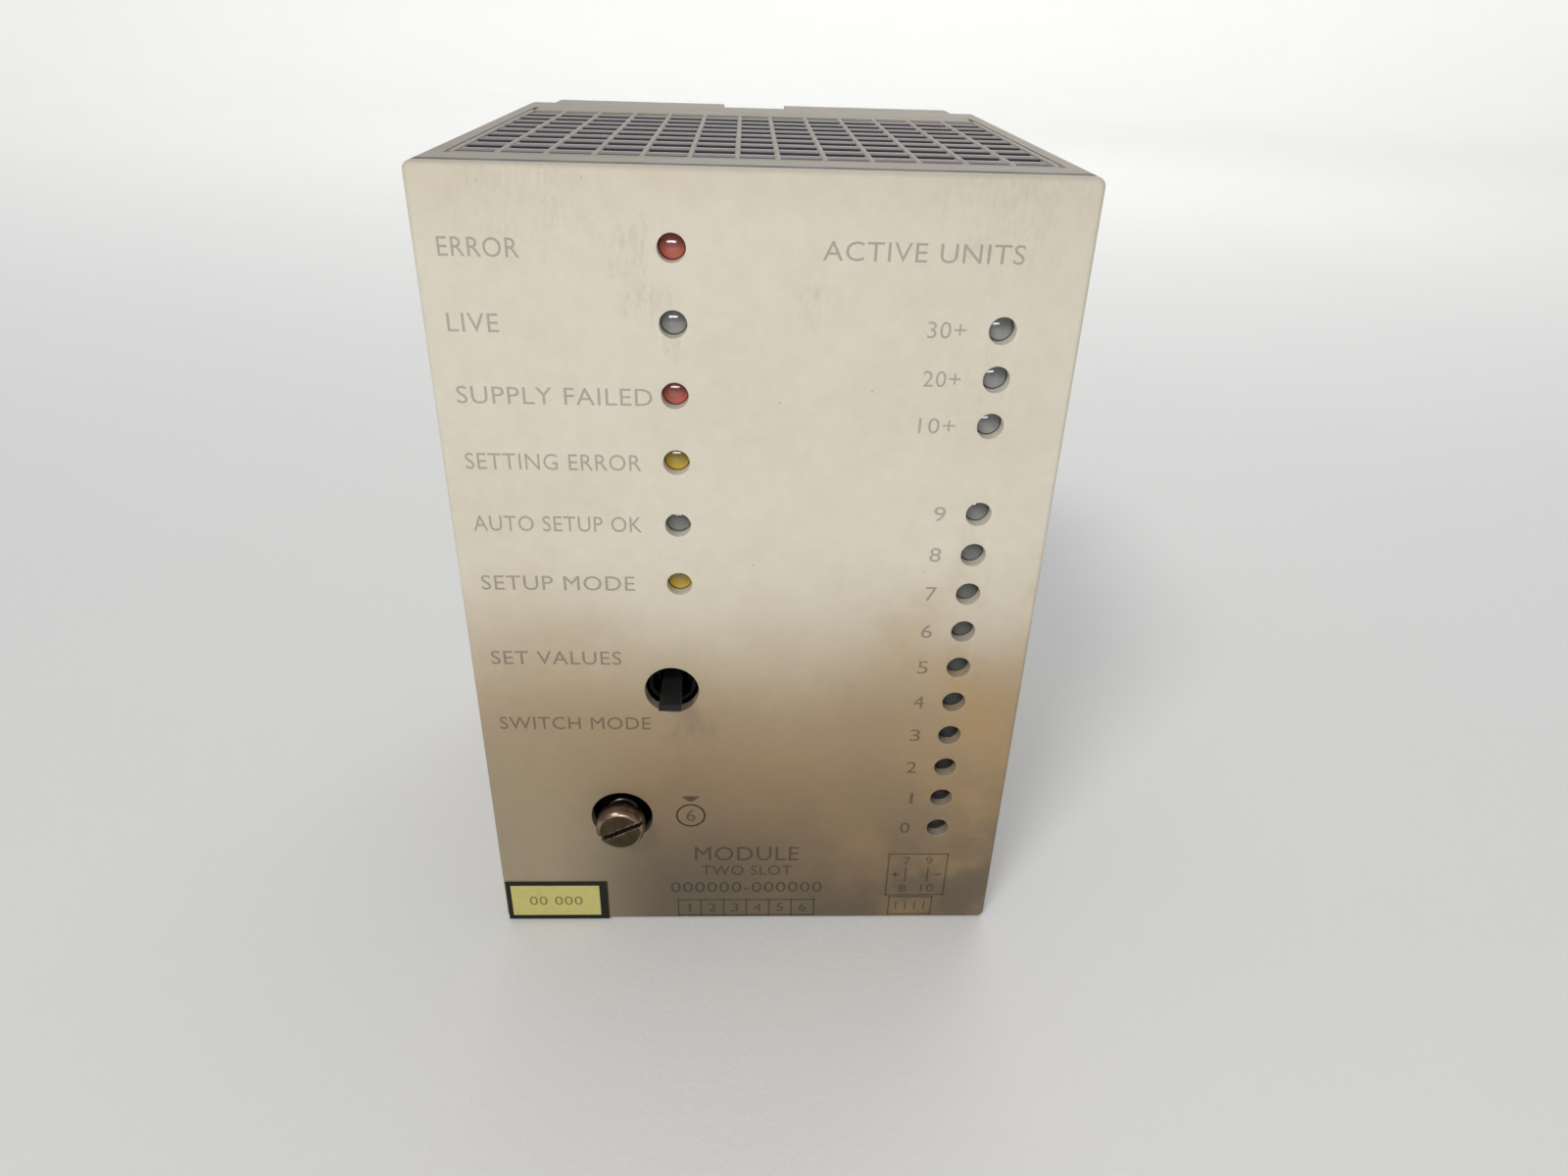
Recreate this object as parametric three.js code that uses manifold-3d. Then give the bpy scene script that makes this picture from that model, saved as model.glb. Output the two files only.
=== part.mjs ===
// Plug-in controller module for a modular rack, two slots wide: a moulded sleeve with vent
// grilles, a front cover with indicator lights, a spring-return toggle switch and a captive
// fixing screw, and two circuit boards that end in rear plugs.
// Millimetres. X is to the right, Y to the back, Z up. Sizes below are counted from the
// middle of the width, the front face of the cover and the underside of the sleeve.
import * as THREE from 'three';
import { mergeVertices } from 'three/addons/utils/BufferGeometryUtils.js';
import Module from 'manifold-3d';

const wasm = await Module();
wasm.setup();

// Case
const WIDTH = 91.5;
const HEIGHT = 135;
const DEPTH = 90.5;
const SLOT_X = 22.75;
const WALL = 2;
const GAP = 0.3;
// How far a cutting solid runs past the face that it cuts.
const PAST = 1;
const CORNER_RADIUS = 1.2;
const COVER_THICKNESS = 2;
const REAR_COVER_THICKNESS = 2.5;
const CLIP = { inner: 42.2, outer: 43.4, bottom: 30, top: 105, length: 6.5 };
const TONGUE = { length: 7.5, inner: 6.3, outer: 40.5, thickness: 3 };

// Vent grilles
const GRILLE = {
  front: 10.5,
  rows: 10,
  rowPitch: 6.75,
  slot: 2.2,
  halfWidth: 41.6,
  ribs: 12,
  ribPitch: 6.6,
  middleColumn: 5.7,
  rib: 1,
  thickness: 2,
  rim: 0.8,
  flange: 1,
  flangeThickness: 0.8,
};

// Indicator lights
const LED = { radius: 1.6, flangeRadius: 1.95, hole: 1.95, tip: 0.2, flangeFront: 4.4, base: 5.4 };
const LED_LEG = { size: 0.5, spread: 1.27, rooted: 0.2 };
const LED_HOLDER = { halfWidth: 2.4, margin: 3, slotHalfWidth: 0.6, slotHalfHeight: 1.9 };
const STATUS_LEDS = { x: -11.5, top: 124.9, pitch: 10.26, count: 6 };
const COUNT_LEDS = { x: 34.5, tensTop: 114.6, unitsTop: 86.3, pitch: 7.04, tens: 3, units: 10 };

// Toggle switch
const SWITCH = { x: -13.2, z: 53.2, hole: 4.5, pivot: 9, front: 6, back: 12.5 };
const SWITCH_BODY = { halfWidth: 3.5, halfHeight: 6.4, wellHalfWidth: 2.3, wellHalfHeight: 3.6, floor: 1 };
const BUSHING = { inner: 3.3, outer: 4.1, front: 2.4 };
const LEVER = { reach: 5, tipWidth: 3.7, rootWidth: 2.8, tipThickness: 1.1, rootThickness: 2.4 };
const PIVOT = { radius: 0.6, halfLength: 3.2, boss: 1.7 };
const TERMINAL = { pitch: 4.7, halfWidth: 0.6, halfThickness: 0.3, rooted: 0.5, back: 17 };

// Captive fixing screw
const SCREW = {
  x: -22.8,
  z: 25.6,
  hole: 5.45,
  headRadius: 4.25,
  headFront: -4,
  headBack: -1,
  edge: 0.9,
  shank: 2,
  tip: 88,
  chamferLength: 1,
  chamferDepth: 0.6,
  slotWidth: 1.1,
  slotDepth: 1.3,
  slotAngle: 26.5,
};
const SLEEVE_RING = { inner: 2.3, outer: 2.8, front: 1.5, back: 9 };
const SCREW_WASHER = { radius: 4.4, front: 60.3, back: 61.5 };
const GUIDE = { radius: 6.6, recess: 5.3, recessBack: 7.3, bore: 3.4, rearBore: 5, stop: 60 };

// Boards and plugs
const BOARD = 1.6;
const BOARD_CLEARANCE = { tube: 0.6, terminal: 0.4 };
const FRONT_BOARD = { front: 13.4, halfWidth: 41, bottom: 6, top: 129 };
const SIDE_BOARD = { front: 18, back: 84, top: 128 };
const MAIN_BOARD = { x: -17.2, bottom: 36 };
const LINK_BOARD = { x: 28.3, bottom: 8 };
const PLUG = { halfWidth: 5, bottom: 62, top: 112, front: 76, back: 93, pocket: 1.6, lip: 1 };
const CONTACT = { size: 0.8, rows: 10, pitch: 4.6, spread: 2.3, halfBase: 3.2, rooted: 1, back: 97.5 };
const KEY = { z: 45, radius: 6, face: 91.5, back: 93, rim: 1, rimFront: 1.8 };
const KEY_BLADE = { halfWidth: 1.2, low: 4.5, high: 1, rooted: 0.5 };
const SPACER = { radius: 2.6, neck: 1.5, hole: 1.9, head: 1, rooted: 0.1 };
const SPACER_AT = { low: 40, high: 124, front: 22, back: 80 };
const BOARD_LINK = { thickness: 4.5, back: 24, left: [60, 100], right: [46, 86] };

// Parts on the main board, each between two [y, z] corners
const PROCESSOR = { depth: 3.5, low: [44, 84], high: [68, 106], legs: 8 };
const MEMORY = { depth: 4, low: [27, 64], high: [61, 76], legs: 9 };
const BUS_CHIP = { depth: 4, low: [28, 111], high: [56, 117], legs: 8 };
const CRYSTAL = { depth: 3.5, low: [71, 90], high: [82, 94.6] };
const CHIP_LEG = { halfWidth: 0.3, reach: 0.8, rooted: 0.2, endMargin: 1, standOff: 0.5 };

// Parts on the link board
const CAPACITOR = { y: 34, z: 24, radius: 8, length: 25 };
const CORE = { near: 5, far: 14, low: [27, 40], high: [49, 60] };
const CORE_WINDOW = { low: [31, 43.5], high: [45, 56.5] };
const CORE_LEG = { low: [35.5, 43], high: [40.5, 57] };
const WINDING = { past: 3.5, low: [31.5, 44], high: [44.5, 56] };
const HEAT_SINK = { low: [30, 102], high: [58, 122], plate: 1.5, reach: 14 };
const SINK_FIN = { count: 5, pitch: 6.6, thickness: 1.6 };
const REGULATOR = { depth: 8, low: [36, 92], high: [46.5, 101.7] };

const LABEL = { left: -45.3, right: -26.4, bottom: 0.3, top: 9.8, front: -0.35, back: -0.1 };

const FRONTMOST = -LEVER.reach;
const REARMOST = DEPTH + TONGUE.length;

const part = new THREE.Group();
part.position.y = -(FRONTMOST + REARMOST) / 2;

const colours = {
  cover: [0xcfc3ae, 0.55, 0],
  sleeve: [0x9c958a, 0.6, 0],
  blackPlastic: [0x141416, 0.45, 0],
  ledRed: [0xa02018, 0.25, 0],
  ledYellow: [0xb39412, 0.25, 0],
  ledClear: [0x9aa0a2, 0.2, 0],
  steel: [0xb9b08a, 0.35, 0.9],
  board: [0x1f5a34, 0.55, 0],
  gold: [0xd0a84c, 0.3, 0.9],
  aluminium: [0xa8abad, 0.4, 0.9],
  label: [0xdcdf72, 0.5, 0],
  can: [0x24344e, 0.4, 0],
  copper: [0x9a5527, 0.4, 0.7],
};

function material([colour, roughness, metalness]) {
  return new THREE.MeshStandardMaterial({ color: colour, roughness, metalness });
}

// A closed geometry as a solid: shared corners are merged and collapsed faces dropped.
function solid(geometry) {
  const bare = geometry.clone();
  bare.deleteAttribute('normal');
  bare.deleteAttribute('uv');
  const merged = mergeVertices(bare, 1e-4);
  const corners = merged.index.array;
  const kept = [];
  for (let i = 0; i < corners.length; i += 3) {
    const [a, b, c] = [corners[i], corners[i + 1], corners[i + 2]];
    if (a !== b && b !== c && c !== a) kept.push(a, b, c);
  }
  const vertProperties = merged.attributes.position.array;
  const triVerts = Uint32Array.from(kept);
  return new wasm.Manifold(new wasm.Mesh({ numProp: 3, vertProperties, triVerts }));
}

function addPiece(name, shape, look) {
  const faces = shape.getMesh();
  const geometry = new THREE.BufferGeometry();
  geometry.setAttribute('position', new THREE.BufferAttribute(faces.vertProperties, 3));
  geometry.setIndex(new THREE.BufferAttribute(faces.triVerts, 1));
  geometry.computeVertexNormals();
  const mesh = new THREE.Mesh(geometry, material(look));
  mesh.name = name;
  part.add(mesh);
}

function union(shapes) {
  return shapes.reduce((joined, shape) => joined.add(shape));
}

// A box between two corners.
function block([x0, y0, z0], [x1, y1, z1]) {
  const box = new THREE.BoxGeometry(x1 - x0, y1 - y0, z1 - z0);
  return solid(box.translate((x0 + x1) / 2, (y0 + y1) / 2, (z0 + z1) / 2));
}

// A round bar along Y, centred on x and z.
function barY(x, z, radius, front, back, sides = 16) {
  const bar = new THREE.CylinderGeometry(radius, radius, back - front, sides);
  return solid(bar.translate(x, (front + back) / 2, z));
}

// A round bar along X, centred on y and z.
function barX(y, z, radius, left, right, sides = 16) {
  const bar = new THREE.CylinderGeometry(radius, radius, right - left, sides);
  return solid(bar.rotateZ(Math.PI / 2).translate((left + right) / 2, y, z));
}

// A profile of [radius, y] points, front to back, turned about a Y axis through x and z.
function turned(profile, x, z, sides = 16) {
  const points = profile.map(([radius, y]) => new THREE.Vector2(radius, y));
  return solid(new THREE.LatheGeometry(points, sides).translate(x, 0, z));
}

// An upright plate with rounded corners, between two depths.
function roundedPlate(front, back, halfWidth, height, radius) {
  const outline = new THREE.Shape();
  const right = halfWidth - radius;
  const top = height - radius;
  outline.absarc(right, top, radius, 0, Math.PI / 2);
  outline.absarc(-right, top, radius, Math.PI / 2, Math.PI);
  outline.absarc(-right, radius, radius, Math.PI, Math.PI * 1.5);
  outline.absarc(right, radius, radius, Math.PI * 1.5, Math.PI * 2);
  const settings = { depth: back - front, bevelEnabled: false, curveSegments: 4 };
  const plate = new THREE.ExtrudeGeometry(outline, settings);
  return solid(plate.rotateX(Math.PI / 2).translate(0, back, 0));
}

// The heights of a column of lights, from the top down.
function column(top, pitch, count) {
  return Array.from({ length: count }, (_, i) => top - i * pitch);
}

const statusHeights = column(STATUS_LEDS.top, STATUS_LEDS.pitch, STATUS_LEDS.count);
const tensHeights = column(COUNT_LEDS.tensTop, COUNT_LEDS.pitch, COUNT_LEDS.tens);
const unitHeights = column(COUNT_LEDS.unitsTop, COUNT_LEDS.pitch, COUNT_LEDS.units);

function ledPlaces() {
  const places = [];
  const statusLooks = [colours.ledRed, colours.ledClear, colours.ledRed];
  statusLooks.push(colours.ledYellow, colours.ledClear, colours.ledYellow);
  statusHeights.forEach((z, i) => {
    places.push({ name: `led_status_${i + 1}`, x: STATUS_LEDS.x, z, look: statusLooks[i] });
  });
  tensHeights.forEach((z, i) => {
    const name = `led_tens_${COUNT_LEDS.tens - i}0`;
    places.push({ name, x: COUNT_LEDS.x, z, look: colours.ledClear });
  });
  unitHeights.forEach((z, i) => {
    const name = `led_units_${COUNT_LEDS.units - 1 - i}`;
    places.push({ name, x: COUNT_LEDS.x, z, look: colours.ledClear });
  });
  return places;
}

function addFrontCover() {
  let cover = roundedPlate(0, COVER_THICKNESS, WIDTH / 2, HEIGHT, CORNER_RADIUS);
  const back = COVER_THICKNESS + PAST;
  for (const { x, z } of ledPlaces()) {
    cover = cover.subtract(barY(x, z, LED.hole, -PAST, back, 12));
  }
  cover = cover.subtract(barY(SWITCH.x, SWITCH.z, SWITCH.hole, -PAST, back, 24));
  cover = cover.subtract(barY(SCREW.x, SCREW.z, SCREW.hole, -PAST, back, 24));
  addPiece('front_cover', cover, colours.cover);

  const clipFront = COVER_THICKNESS + GAP;
  const clipBack = clipFront + CLIP.length;
  const edges = { left: [-CLIP.outer, -CLIP.inner], right: [CLIP.inner, CLIP.outer] };
  for (const [side, [left, right]] of Object.entries(edges)) {
    const clip = block([left, clipFront, CLIP.bottom], [right, clipBack, CLIP.top]);
    addPiece(`cover_clip_${side}`, clip, colours.cover);
  }
}

const grilleBack = GRILLE.front + GRILLE.rows * GRILLE.rowPitch;

// The channels between the front-to-back ribs, as [left, right] pairs.
function grilleColumns() {
  const { ribs, ribPitch, middleColumn, rib, halfWidth } = GRILLE;
  const dividers = [-halfWidth - rib / 2, halfWidth + rib / 2];
  for (let i = 0; i < ribs / 2; i += 1) {
    const x = middleColumn / 2 + i * ribPitch;
    dividers.push(-x, x);
  }
  dividers.sort((a, b) => a - b);
  return dividers.slice(1).map((right, i) => [dividers[i] + rib / 2, right - rib / 2]);
}

// The vent insert as it lies in the top wall.
function ventInsert() {
  const top = HEIGHT;
  const bottom = HEIGHT - GRILLE.thickness - GAP;
  const flangeBottom = bottom - GRILLE.flangeThickness;
  const rim = GRILLE.rim;
  const edge = GRILLE.halfWidth + rim;
  const plateBottom = bottom - GRILLE.flangeThickness / 2;
  let insert = block([-edge, GRILLE.front - rim, plateBottom], [edge, grilleBack + rim, top]);
  const wide = edge + GRILLE.flange;
  const low = [-wide, GRILLE.front - rim - GRILLE.flange, flangeBottom];
  insert = insert.add(block(low, [wide, grilleBack + rim + GRILLE.flange, bottom]));
  for (const [left, right] of grilleColumns()) {
    for (let row = 0; row < GRILLE.rows; row += 1) {
      const slotFront = GRILLE.front + row * GRILLE.rowPitch;
      const slotLow = [left, slotFront, flangeBottom - PAST];
      insert = insert.subtract(block(slotLow, [right, slotFront + GRILLE.slot, top + PAST]));
    }
  }
  return insert;
}

function addGrilles() {
  const top = ventInsert();
  addPiece('top_vent_grille', top, colours.sleeve);
  addPiece('bottom_vent_grille', top.mirror([0, 0, 1]).translate([0, 0, HEIGHT]), colours.sleeve);
}

function addSleeve() {
  const front = COVER_THICKNESS + GAP;
  let sleeve = roundedPlate(front, DEPTH, WIDTH / 2, HEIGHT, CORNER_RADIUS);
  const innerX = WIDTH / 2 - WALL;
  sleeve = sleeve.subtract(block([-innerX, 0, WALL], [innerX, DEPTH + PAST, HEIGHT - WALL]));
  const opening = GRILLE.halfWidth + GRILLE.rim + GAP;
  const openFront = GRILLE.front - GRILLE.rim - GAP;
  const openBack = grilleBack + GRILLE.rim + GAP;
  const openTop = HEIGHT + PAST;
  sleeve = sleeve.subtract(block([-opening, openFront, -PAST], [opening, openBack, openTop]));
  for (const side of [-1, 1]) {
    const [near, far] = [side * TONGUE.inner, side * TONGUE.outer];
    const root = DEPTH - REAR_COVER_THICKNESS - PAST;
    const low = [Math.min(near, far), root, HEIGHT - TONGUE.thickness];
    sleeve = sleeve.add(block(low, [Math.max(near, far), REARMOST, HEIGHT]));
  }
  addPiece('housing_sleeve', sleeve, colours.sleeve);
}

function addRearCover() {
  const front = DEPTH - REAR_COVER_THICKNESS;
  const halfWidth = WIDTH / 2 - WALL - GAP;
  const top = HEIGHT - TONGUE.thickness - GAP;
  let cover = block([-halfWidth, front, WALL + GAP], [halfWidth, DEPTH, top]);
  for (const x of [-SLOT_X, SLOT_X]) {
    const low = [x - PLUG.halfWidth - GAP, front - PAST, PLUG.bottom - GAP];
    cover = cover.subtract(block(low, [x + PLUG.halfWidth + GAP, DEPTH + PAST, PLUG.top + GAP]));
  }
  cover = cover.subtract(barY(SCREW.x, SCREW.z, GUIDE.rearBore, front - PAST, DEPTH + PAST));
  cover = cover.subtract(barY(-SLOT_X, KEY.z, KEY.radius + GAP, front - PAST, DEPTH + PAST));
  addPiece('rear_cover', cover, colours.sleeve);

  // A round plug with an inner rim that holds it, and a raised blade that codes the slot.
  let key = barY(-SLOT_X, KEY.z, KEY.radius, front - PAST, KEY.face);
  key = key.add(barY(-SLOT_X, KEY.z, KEY.radius + KEY.rim, front - KEY.rimFront, front - GAP));
  const { halfWidth: bladeHalf, low: bladeLow, high: bladeHigh, rooted } = KEY_BLADE;
  const bladeCorner = [-SLOT_X - bladeHalf, KEY.face - rooted, KEY.z - bladeLow];
  key = key.add(block(bladeCorner, [-SLOT_X + bladeHalf, KEY.back, KEY.z + bladeHigh]));
  addPiece('coding_key', key, colours.cover);
}

function addScrew() {
  const { x, z, headRadius, headFront, headBack, edge, shank, tip } = SCREW;
  const profile = [[0, headFront]];
  const roundSteps = 4;
  for (let i = 0; i <= roundSteps; i += 1) {
    const angle = (i / roundSteps) * (Math.PI / 2);
    const radius = headRadius - edge + edge * Math.sin(angle);
    profile.push([radius, headFront + edge - edge * Math.cos(angle)]);
  }
  profile.push([headRadius, headBack], [shank, headBack], [shank, tip - SCREW.chamferLength]);
  profile.push([shank - SCREW.chamferDepth, tip], [0, tip]);
  let screw = turned(profile, x, z, 20);
  const slot = new THREE.BoxGeometry(headRadius * 3, SCREW.slotDepth * 2, SCREW.slotWidth);
  slot.rotateY(-SCREW.slotAngle * Math.PI / 180).translate(x, headFront, z);
  screw = screw.subtract(solid(slot));
  addPiece('fixing_screw', screw, colours.steel);

  const { inner, outer, front, back } = SLEEVE_RING;
  const ring = [[inner, front], [outer, front], [outer, back], [inner, back], [inner, front]];
  addPiece('screw_sleeve', turned(ring, x, z), colours.steel);

  const washer = SCREW_WASHER;
  const disc = [[inner, washer.front], [washer.radius, washer.front], [washer.radius, washer.back]];
  disc.push([inner, washer.back], [inner, washer.front]);
  addPiece('screw_retaining_washer', turned(disc, x, z), colours.blackPlastic);

  let guide = barY(x, z, GUIDE.radius, COVER_THICKNESS + GAP, DEPTH - REAR_COVER_THICKNESS - GAP);
  guide = guide.subtract(barY(x, z, GUIDE.recess, 0, GUIDE.recessBack));
  guide = guide.subtract(barY(x, z, GUIDE.bore, 0, DEPTH));
  guide = guide.subtract(barY(x, z, GUIDE.rearBore, GUIDE.stop, DEPTH));
  addPiece('screw_guide_tube', guide, colours.blackPlastic);
}

function addSwitch() {
  const { x, z, front, back, pivot } = SWITCH;
  const { halfWidth, halfHeight, wellHalfWidth, wellHalfHeight, floor } = SWITCH_BODY;
  const wellLow = [x - wellHalfWidth, front - PAST, z - wellHalfHeight];
  const wellHigh = [x + wellHalfWidth, back - floor, z + wellHalfHeight];
  const pivotHole = barX(pivot, z, PIVOT.radius + GAP, x - halfWidth - PAST, x + halfWidth + PAST, 10);
  let body = block([x - halfWidth, front, z - halfHeight], [x + halfWidth, back, z + halfHeight]);
  body = body.subtract(block(wellLow, wellHigh)).subtract(pivotHole);
  for (const step of [-1, 0, 1]) {
    const middle = z + step * TERMINAL.pitch;
    const low = [x - TERMINAL.halfWidth, back - TERMINAL.rooted, middle - TERMINAL.halfThickness];
    const high = [x + TERMINAL.halfWidth, TERMINAL.back, middle + TERMINAL.halfThickness];
    body = body.add(block(low, high));
  }
  addPiece('switch_body', body, colours.blackPlastic);

  const { inner, outer } = BUSHING;
  const ringBack = front - GAP;
  const ring = [[inner, BUSHING.front], [outer, BUSHING.front], [outer, ringBack]];
  ring.push([inner, ringBack], [inner, BUSHING.front]);
  addPiece('switch_bushing', turned(ring, x, z, 20), colours.blackPlastic);

  const pin = barX(pivot, z, PIVOT.radius, x - PIVOT.halfLength, x + PIVOT.halfLength, 10);
  addPiece('switch_pivot_pin', pin, colours.steel);

  // The lever widens and flattens from its root, at the pivot, to its tip.
  const taper = new THREE.BoxGeometry(1, pivot + LEVER.reach, 1);
  const corners = taper.attributes.position;
  for (let i = 0; i < corners.count; i += 1) {
    const atTip = corners.getY(i) < 0;
    corners.setX(i, corners.getX(i) * (atTip ? LEVER.tipWidth : LEVER.rootWidth));
    corners.setZ(i, corners.getZ(i) * (atTip ? LEVER.tipThickness : LEVER.rootThickness));
  }
  taper.translate(x, (pivot - LEVER.reach) / 2, z);
  const bossHalf = LEVER.rootWidth / 2;
  const boss = barX(pivot, z, PIVOT.boss, x - bossHalf, x + bossHalf, 14);
  addPiece('switch_lever', solid(taper).add(boss).subtract(pivotHole), colours.blackPlastic);
}

function addLeds() {
  const { radius, flangeRadius, tip, flangeFront, base } = LED;
  const legBack = FRONT_BOARD.front - GAP;
  const domeSteps = 3;
  for (const { name, x, z, look } of ledPlaces()) {
    const profile = [];
    for (let i = 0; i <= domeSteps; i += 1) {
      const angle = (i / domeSteps) * (Math.PI / 2);
      profile.push([radius * Math.sin(angle), tip + radius - radius * Math.cos(angle)]);
    }
    profile.push([radius, flangeFront], [flangeRadius, flangeFront], [flangeRadius, base], [0, base]);
    let led = turned(profile, x, z, 12);
    for (const side of [-1, 1]) {
      const middle = z + side * LED_LEG.spread;
      const half = LED_LEG.size / 2;
      const low = [x - half, base - LED_LEG.rooted, middle - half];
      led = led.add(block(low, [x + half, legBack, middle + half]));
    }
    addPiece(name, led, look);
  }
}

// A moulded bar behind a row of lights, with a slot for the two legs of each.
function ledHolder(x, heights) {
  const { halfWidth, margin, slotHalfWidth, slotHalfHeight } = LED_HOLDER;
  const bottom = Math.min(...heights) - margin;
  const top = Math.max(...heights) + margin;
  const back = FRONT_BOARD.front - GAP;
  let holder = block([x - halfWidth, LED.base + GAP, bottom], [x + halfWidth, back, top]);
  for (const z of heights) {
    const low = [x - slotHalfWidth, LED.base - PAST, z - slotHalfHeight];
    holder = holder.subtract(block(low, [x + slotHalfWidth, back + PAST, z + slotHalfHeight]));
  }
  return holder;
}

function addLedHolders() {
  addPiece('led_holder_left', ledHolder(STATUS_LEDS.x, statusHeights), colours.blackPlastic);
  const right = ledHolder(COUNT_LEDS.x, [...tensHeights, ...unitHeights]);
  addPiece('led_holder_right', right, colours.blackPlastic);
}

function addBoards() {
  const { front, halfWidth, bottom, top } = FRONT_BOARD;
  let face = block([-halfWidth, front, bottom], [halfWidth, front + BOARD, top]);
  const [cutFront, cutBack] = [front - PAST, front + BOARD + PAST];
  const tubeHole = GUIDE.radius + BOARD_CLEARANCE.tube;
  face = face.subtract(barY(SCREW.x, SCREW.z, tubeHole, cutFront, cutBack));
  const slotHalfWidth = TERMINAL.halfWidth + BOARD_CLEARANCE.terminal;
  const slotHalfHeight = TERMINAL.halfThickness + BOARD_CLEARANCE.terminal;
  for (const step of [-1, 0, 1]) {
    const z = SWITCH.z + step * TERMINAL.pitch;
    const low = [SWITCH.x - slotHalfWidth, cutFront, z - slotHalfHeight];
    face = face.subtract(block(low, [SWITCH.x + slotHalfWidth, cutBack, z + slotHalfHeight]));
  }
  addPiece('front_board', face, colours.board);

  for (const [name, place] of [['main_board', MAIN_BOARD], ['link_board', LINK_BOARD]]) {
    const low = [place.x, SIDE_BOARD.front, place.bottom];
    const right = place.x + BOARD;
    let board = block(low, [right, SIDE_BOARD.back, SIDE_BOARD.top]);
    for (const [y, z] of spacerPlaces()) {
      board = board.subtract(barX(y, z, SPACER.hole, place.x - PAST, right + PAST, 8));
    }
    addPiece(name, board, colours.board);
  }
}

function spacerPlaces() {
  const { front, back, low, high } = SPACER_AT;
  return [[front, low], [back, low], [front, high], [back, high]];
}

// Swaged spacers: a hexagonal rod between the boards, a neck through each and a head outside.
function addSpacers() {
  const left = MAIN_BOARD.x + BOARD + GAP;
  const right = LINK_BOARD.x - GAP;
  const leftHead = MAIN_BOARD.x - GAP;
  const rightHead = LINK_BOARD.x + BOARD + GAP;
  const { radius, neck, head, rooted } = SPACER;
  spacerPlaces().forEach(([y, z], i) => {
    let spacer = barX(y, z, radius, left, right, 6);
    spacer = spacer.add(barX(y, z, neck, leftHead - rooted, rightHead + rooted, 8));
    spacer = spacer.add(barX(y, z, radius, leftHead - head, leftHead, 10));
    spacer = spacer.add(barX(y, z, radius, rightHead, rightHead + head, 10));
    addPiece(`board_spacer_${i + 1}`, spacer, colours.aluminium);
  });
}

// Each rear plug is a block with a shallow pocket that holds its strip of contact pins.
function addPlugs() {
  const { halfWidth, bottom, top, front, back, pocket, lip } = PLUG;
  const { size, rows, pitch, spread, halfBase, rooted } = CONTACT;
  const middle = (bottom + top) / 2;
  const halfPocket = halfBase + GAP;
  for (const [side, x] of [['left', -SLOT_X], ['right', SLOT_X]]) {
    let plug = block([x - halfWidth, front, bottom], [x + halfWidth, back, top]);
    const pocketLow = [x - halfPocket, back - pocket, bottom + lip];
    plug = plug.subtract(block(pocketLow, [x + halfPocket, back + PAST, top - lip]));
    addPiece(`rear_plug_${side}`, plug, colours.blackPlastic);

    const baseLow = [x - halfBase, back - pocket + GAP, bottom + lip + GAP];
    let strip = block(baseLow, [x + halfBase, back - GAP, top - lip - GAP]);
    for (let row = 0; row < rows; row += 1) {
      const z = middle + (row - (rows - 1) / 2) * pitch;
      for (const offset of [-spread, spread]) {
        const low = [x + offset - size / 2, back - rooted, z - size / 2];
        strip = strip.add(block(low, [x + offset + size / 2, CONTACT.back, z + size / 2]));
      }
    }
    addPiece(`rear_contacts_${side}`, strip, colours.gold);
  }
}

// Sockets that join the front board to the two boards behind it.
function addBoardLinks() {
  const front = FRONT_BOARD.front + BOARD + GAP;
  const { thickness, back } = BOARD_LINK;
  const right = MAIN_BOARD.x - GAP;
  const [bottom, top] = BOARD_LINK.left;
  const leftLink = block([right - thickness, front, bottom], [right, back, top]);
  addPiece('board_link_left', leftLink, colours.blackPlastic);

  const left = LINK_BOARD.x + BOARD + GAP;
  const [low, high] = BOARD_LINK.right;
  const rightLink = block([left, front, low], [left + thickness, back, high]);
  addPiece('board_link_right', rightLink, colours.blackPlastic);
}

// A block from a board's face, between two [y, z] corners.
function onBoard(near, far, [y0, z0], [y1, z1]) {
  return block([Math.min(near, far), y0, z0], [Math.max(near, far), y1, z1]);
}

// A chip lying on the main board: a body with a row of legs on each long side.
function chip(face, { depth, low, high, legs }) {
  const { halfWidth, reach, rooted, endMargin, standOff } = CHIP_LEG;
  const [y0, z0] = low;
  const [y1, z1] = high;
  const pieces = [onBoard(face + standOff, face + depth, low, high)];
  const pitch = (y1 - y0 - 2 * endMargin) / (legs - 1);
  const knee = face + depth / 2;
  for (let i = 0; i < legs; i += 1) {
    const y = y0 + endMargin + i * pitch;
    const [near, far] = [y - halfWidth, y + halfWidth];
    pieces.push(onBoard(face, knee, [near, z0 - reach], [far, z0 + rooted]));
    pieces.push(onBoard(face, knee, [near, z1 - rooted], [far, z1 + reach]));
  }
  return union(pieces);
}

function addMainBoardParts() {
  const face = MAIN_BOARD.x + BOARD + GAP;
  addPiece('processor_chip', chip(face, PROCESSOR), colours.blackPlastic);
  addPiece('memory_chip', chip(face, MEMORY), colours.blackPlastic);
  addPiece('bus_chip', chip(face, BUS_CHIP), colours.blackPlastic);
  const crystal = onBoard(face, face + CRYSTAL.depth, CRYSTAL.low, CRYSTAL.high);
  addPiece('clock_crystal', crystal, colours.aluminium);
}

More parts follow.
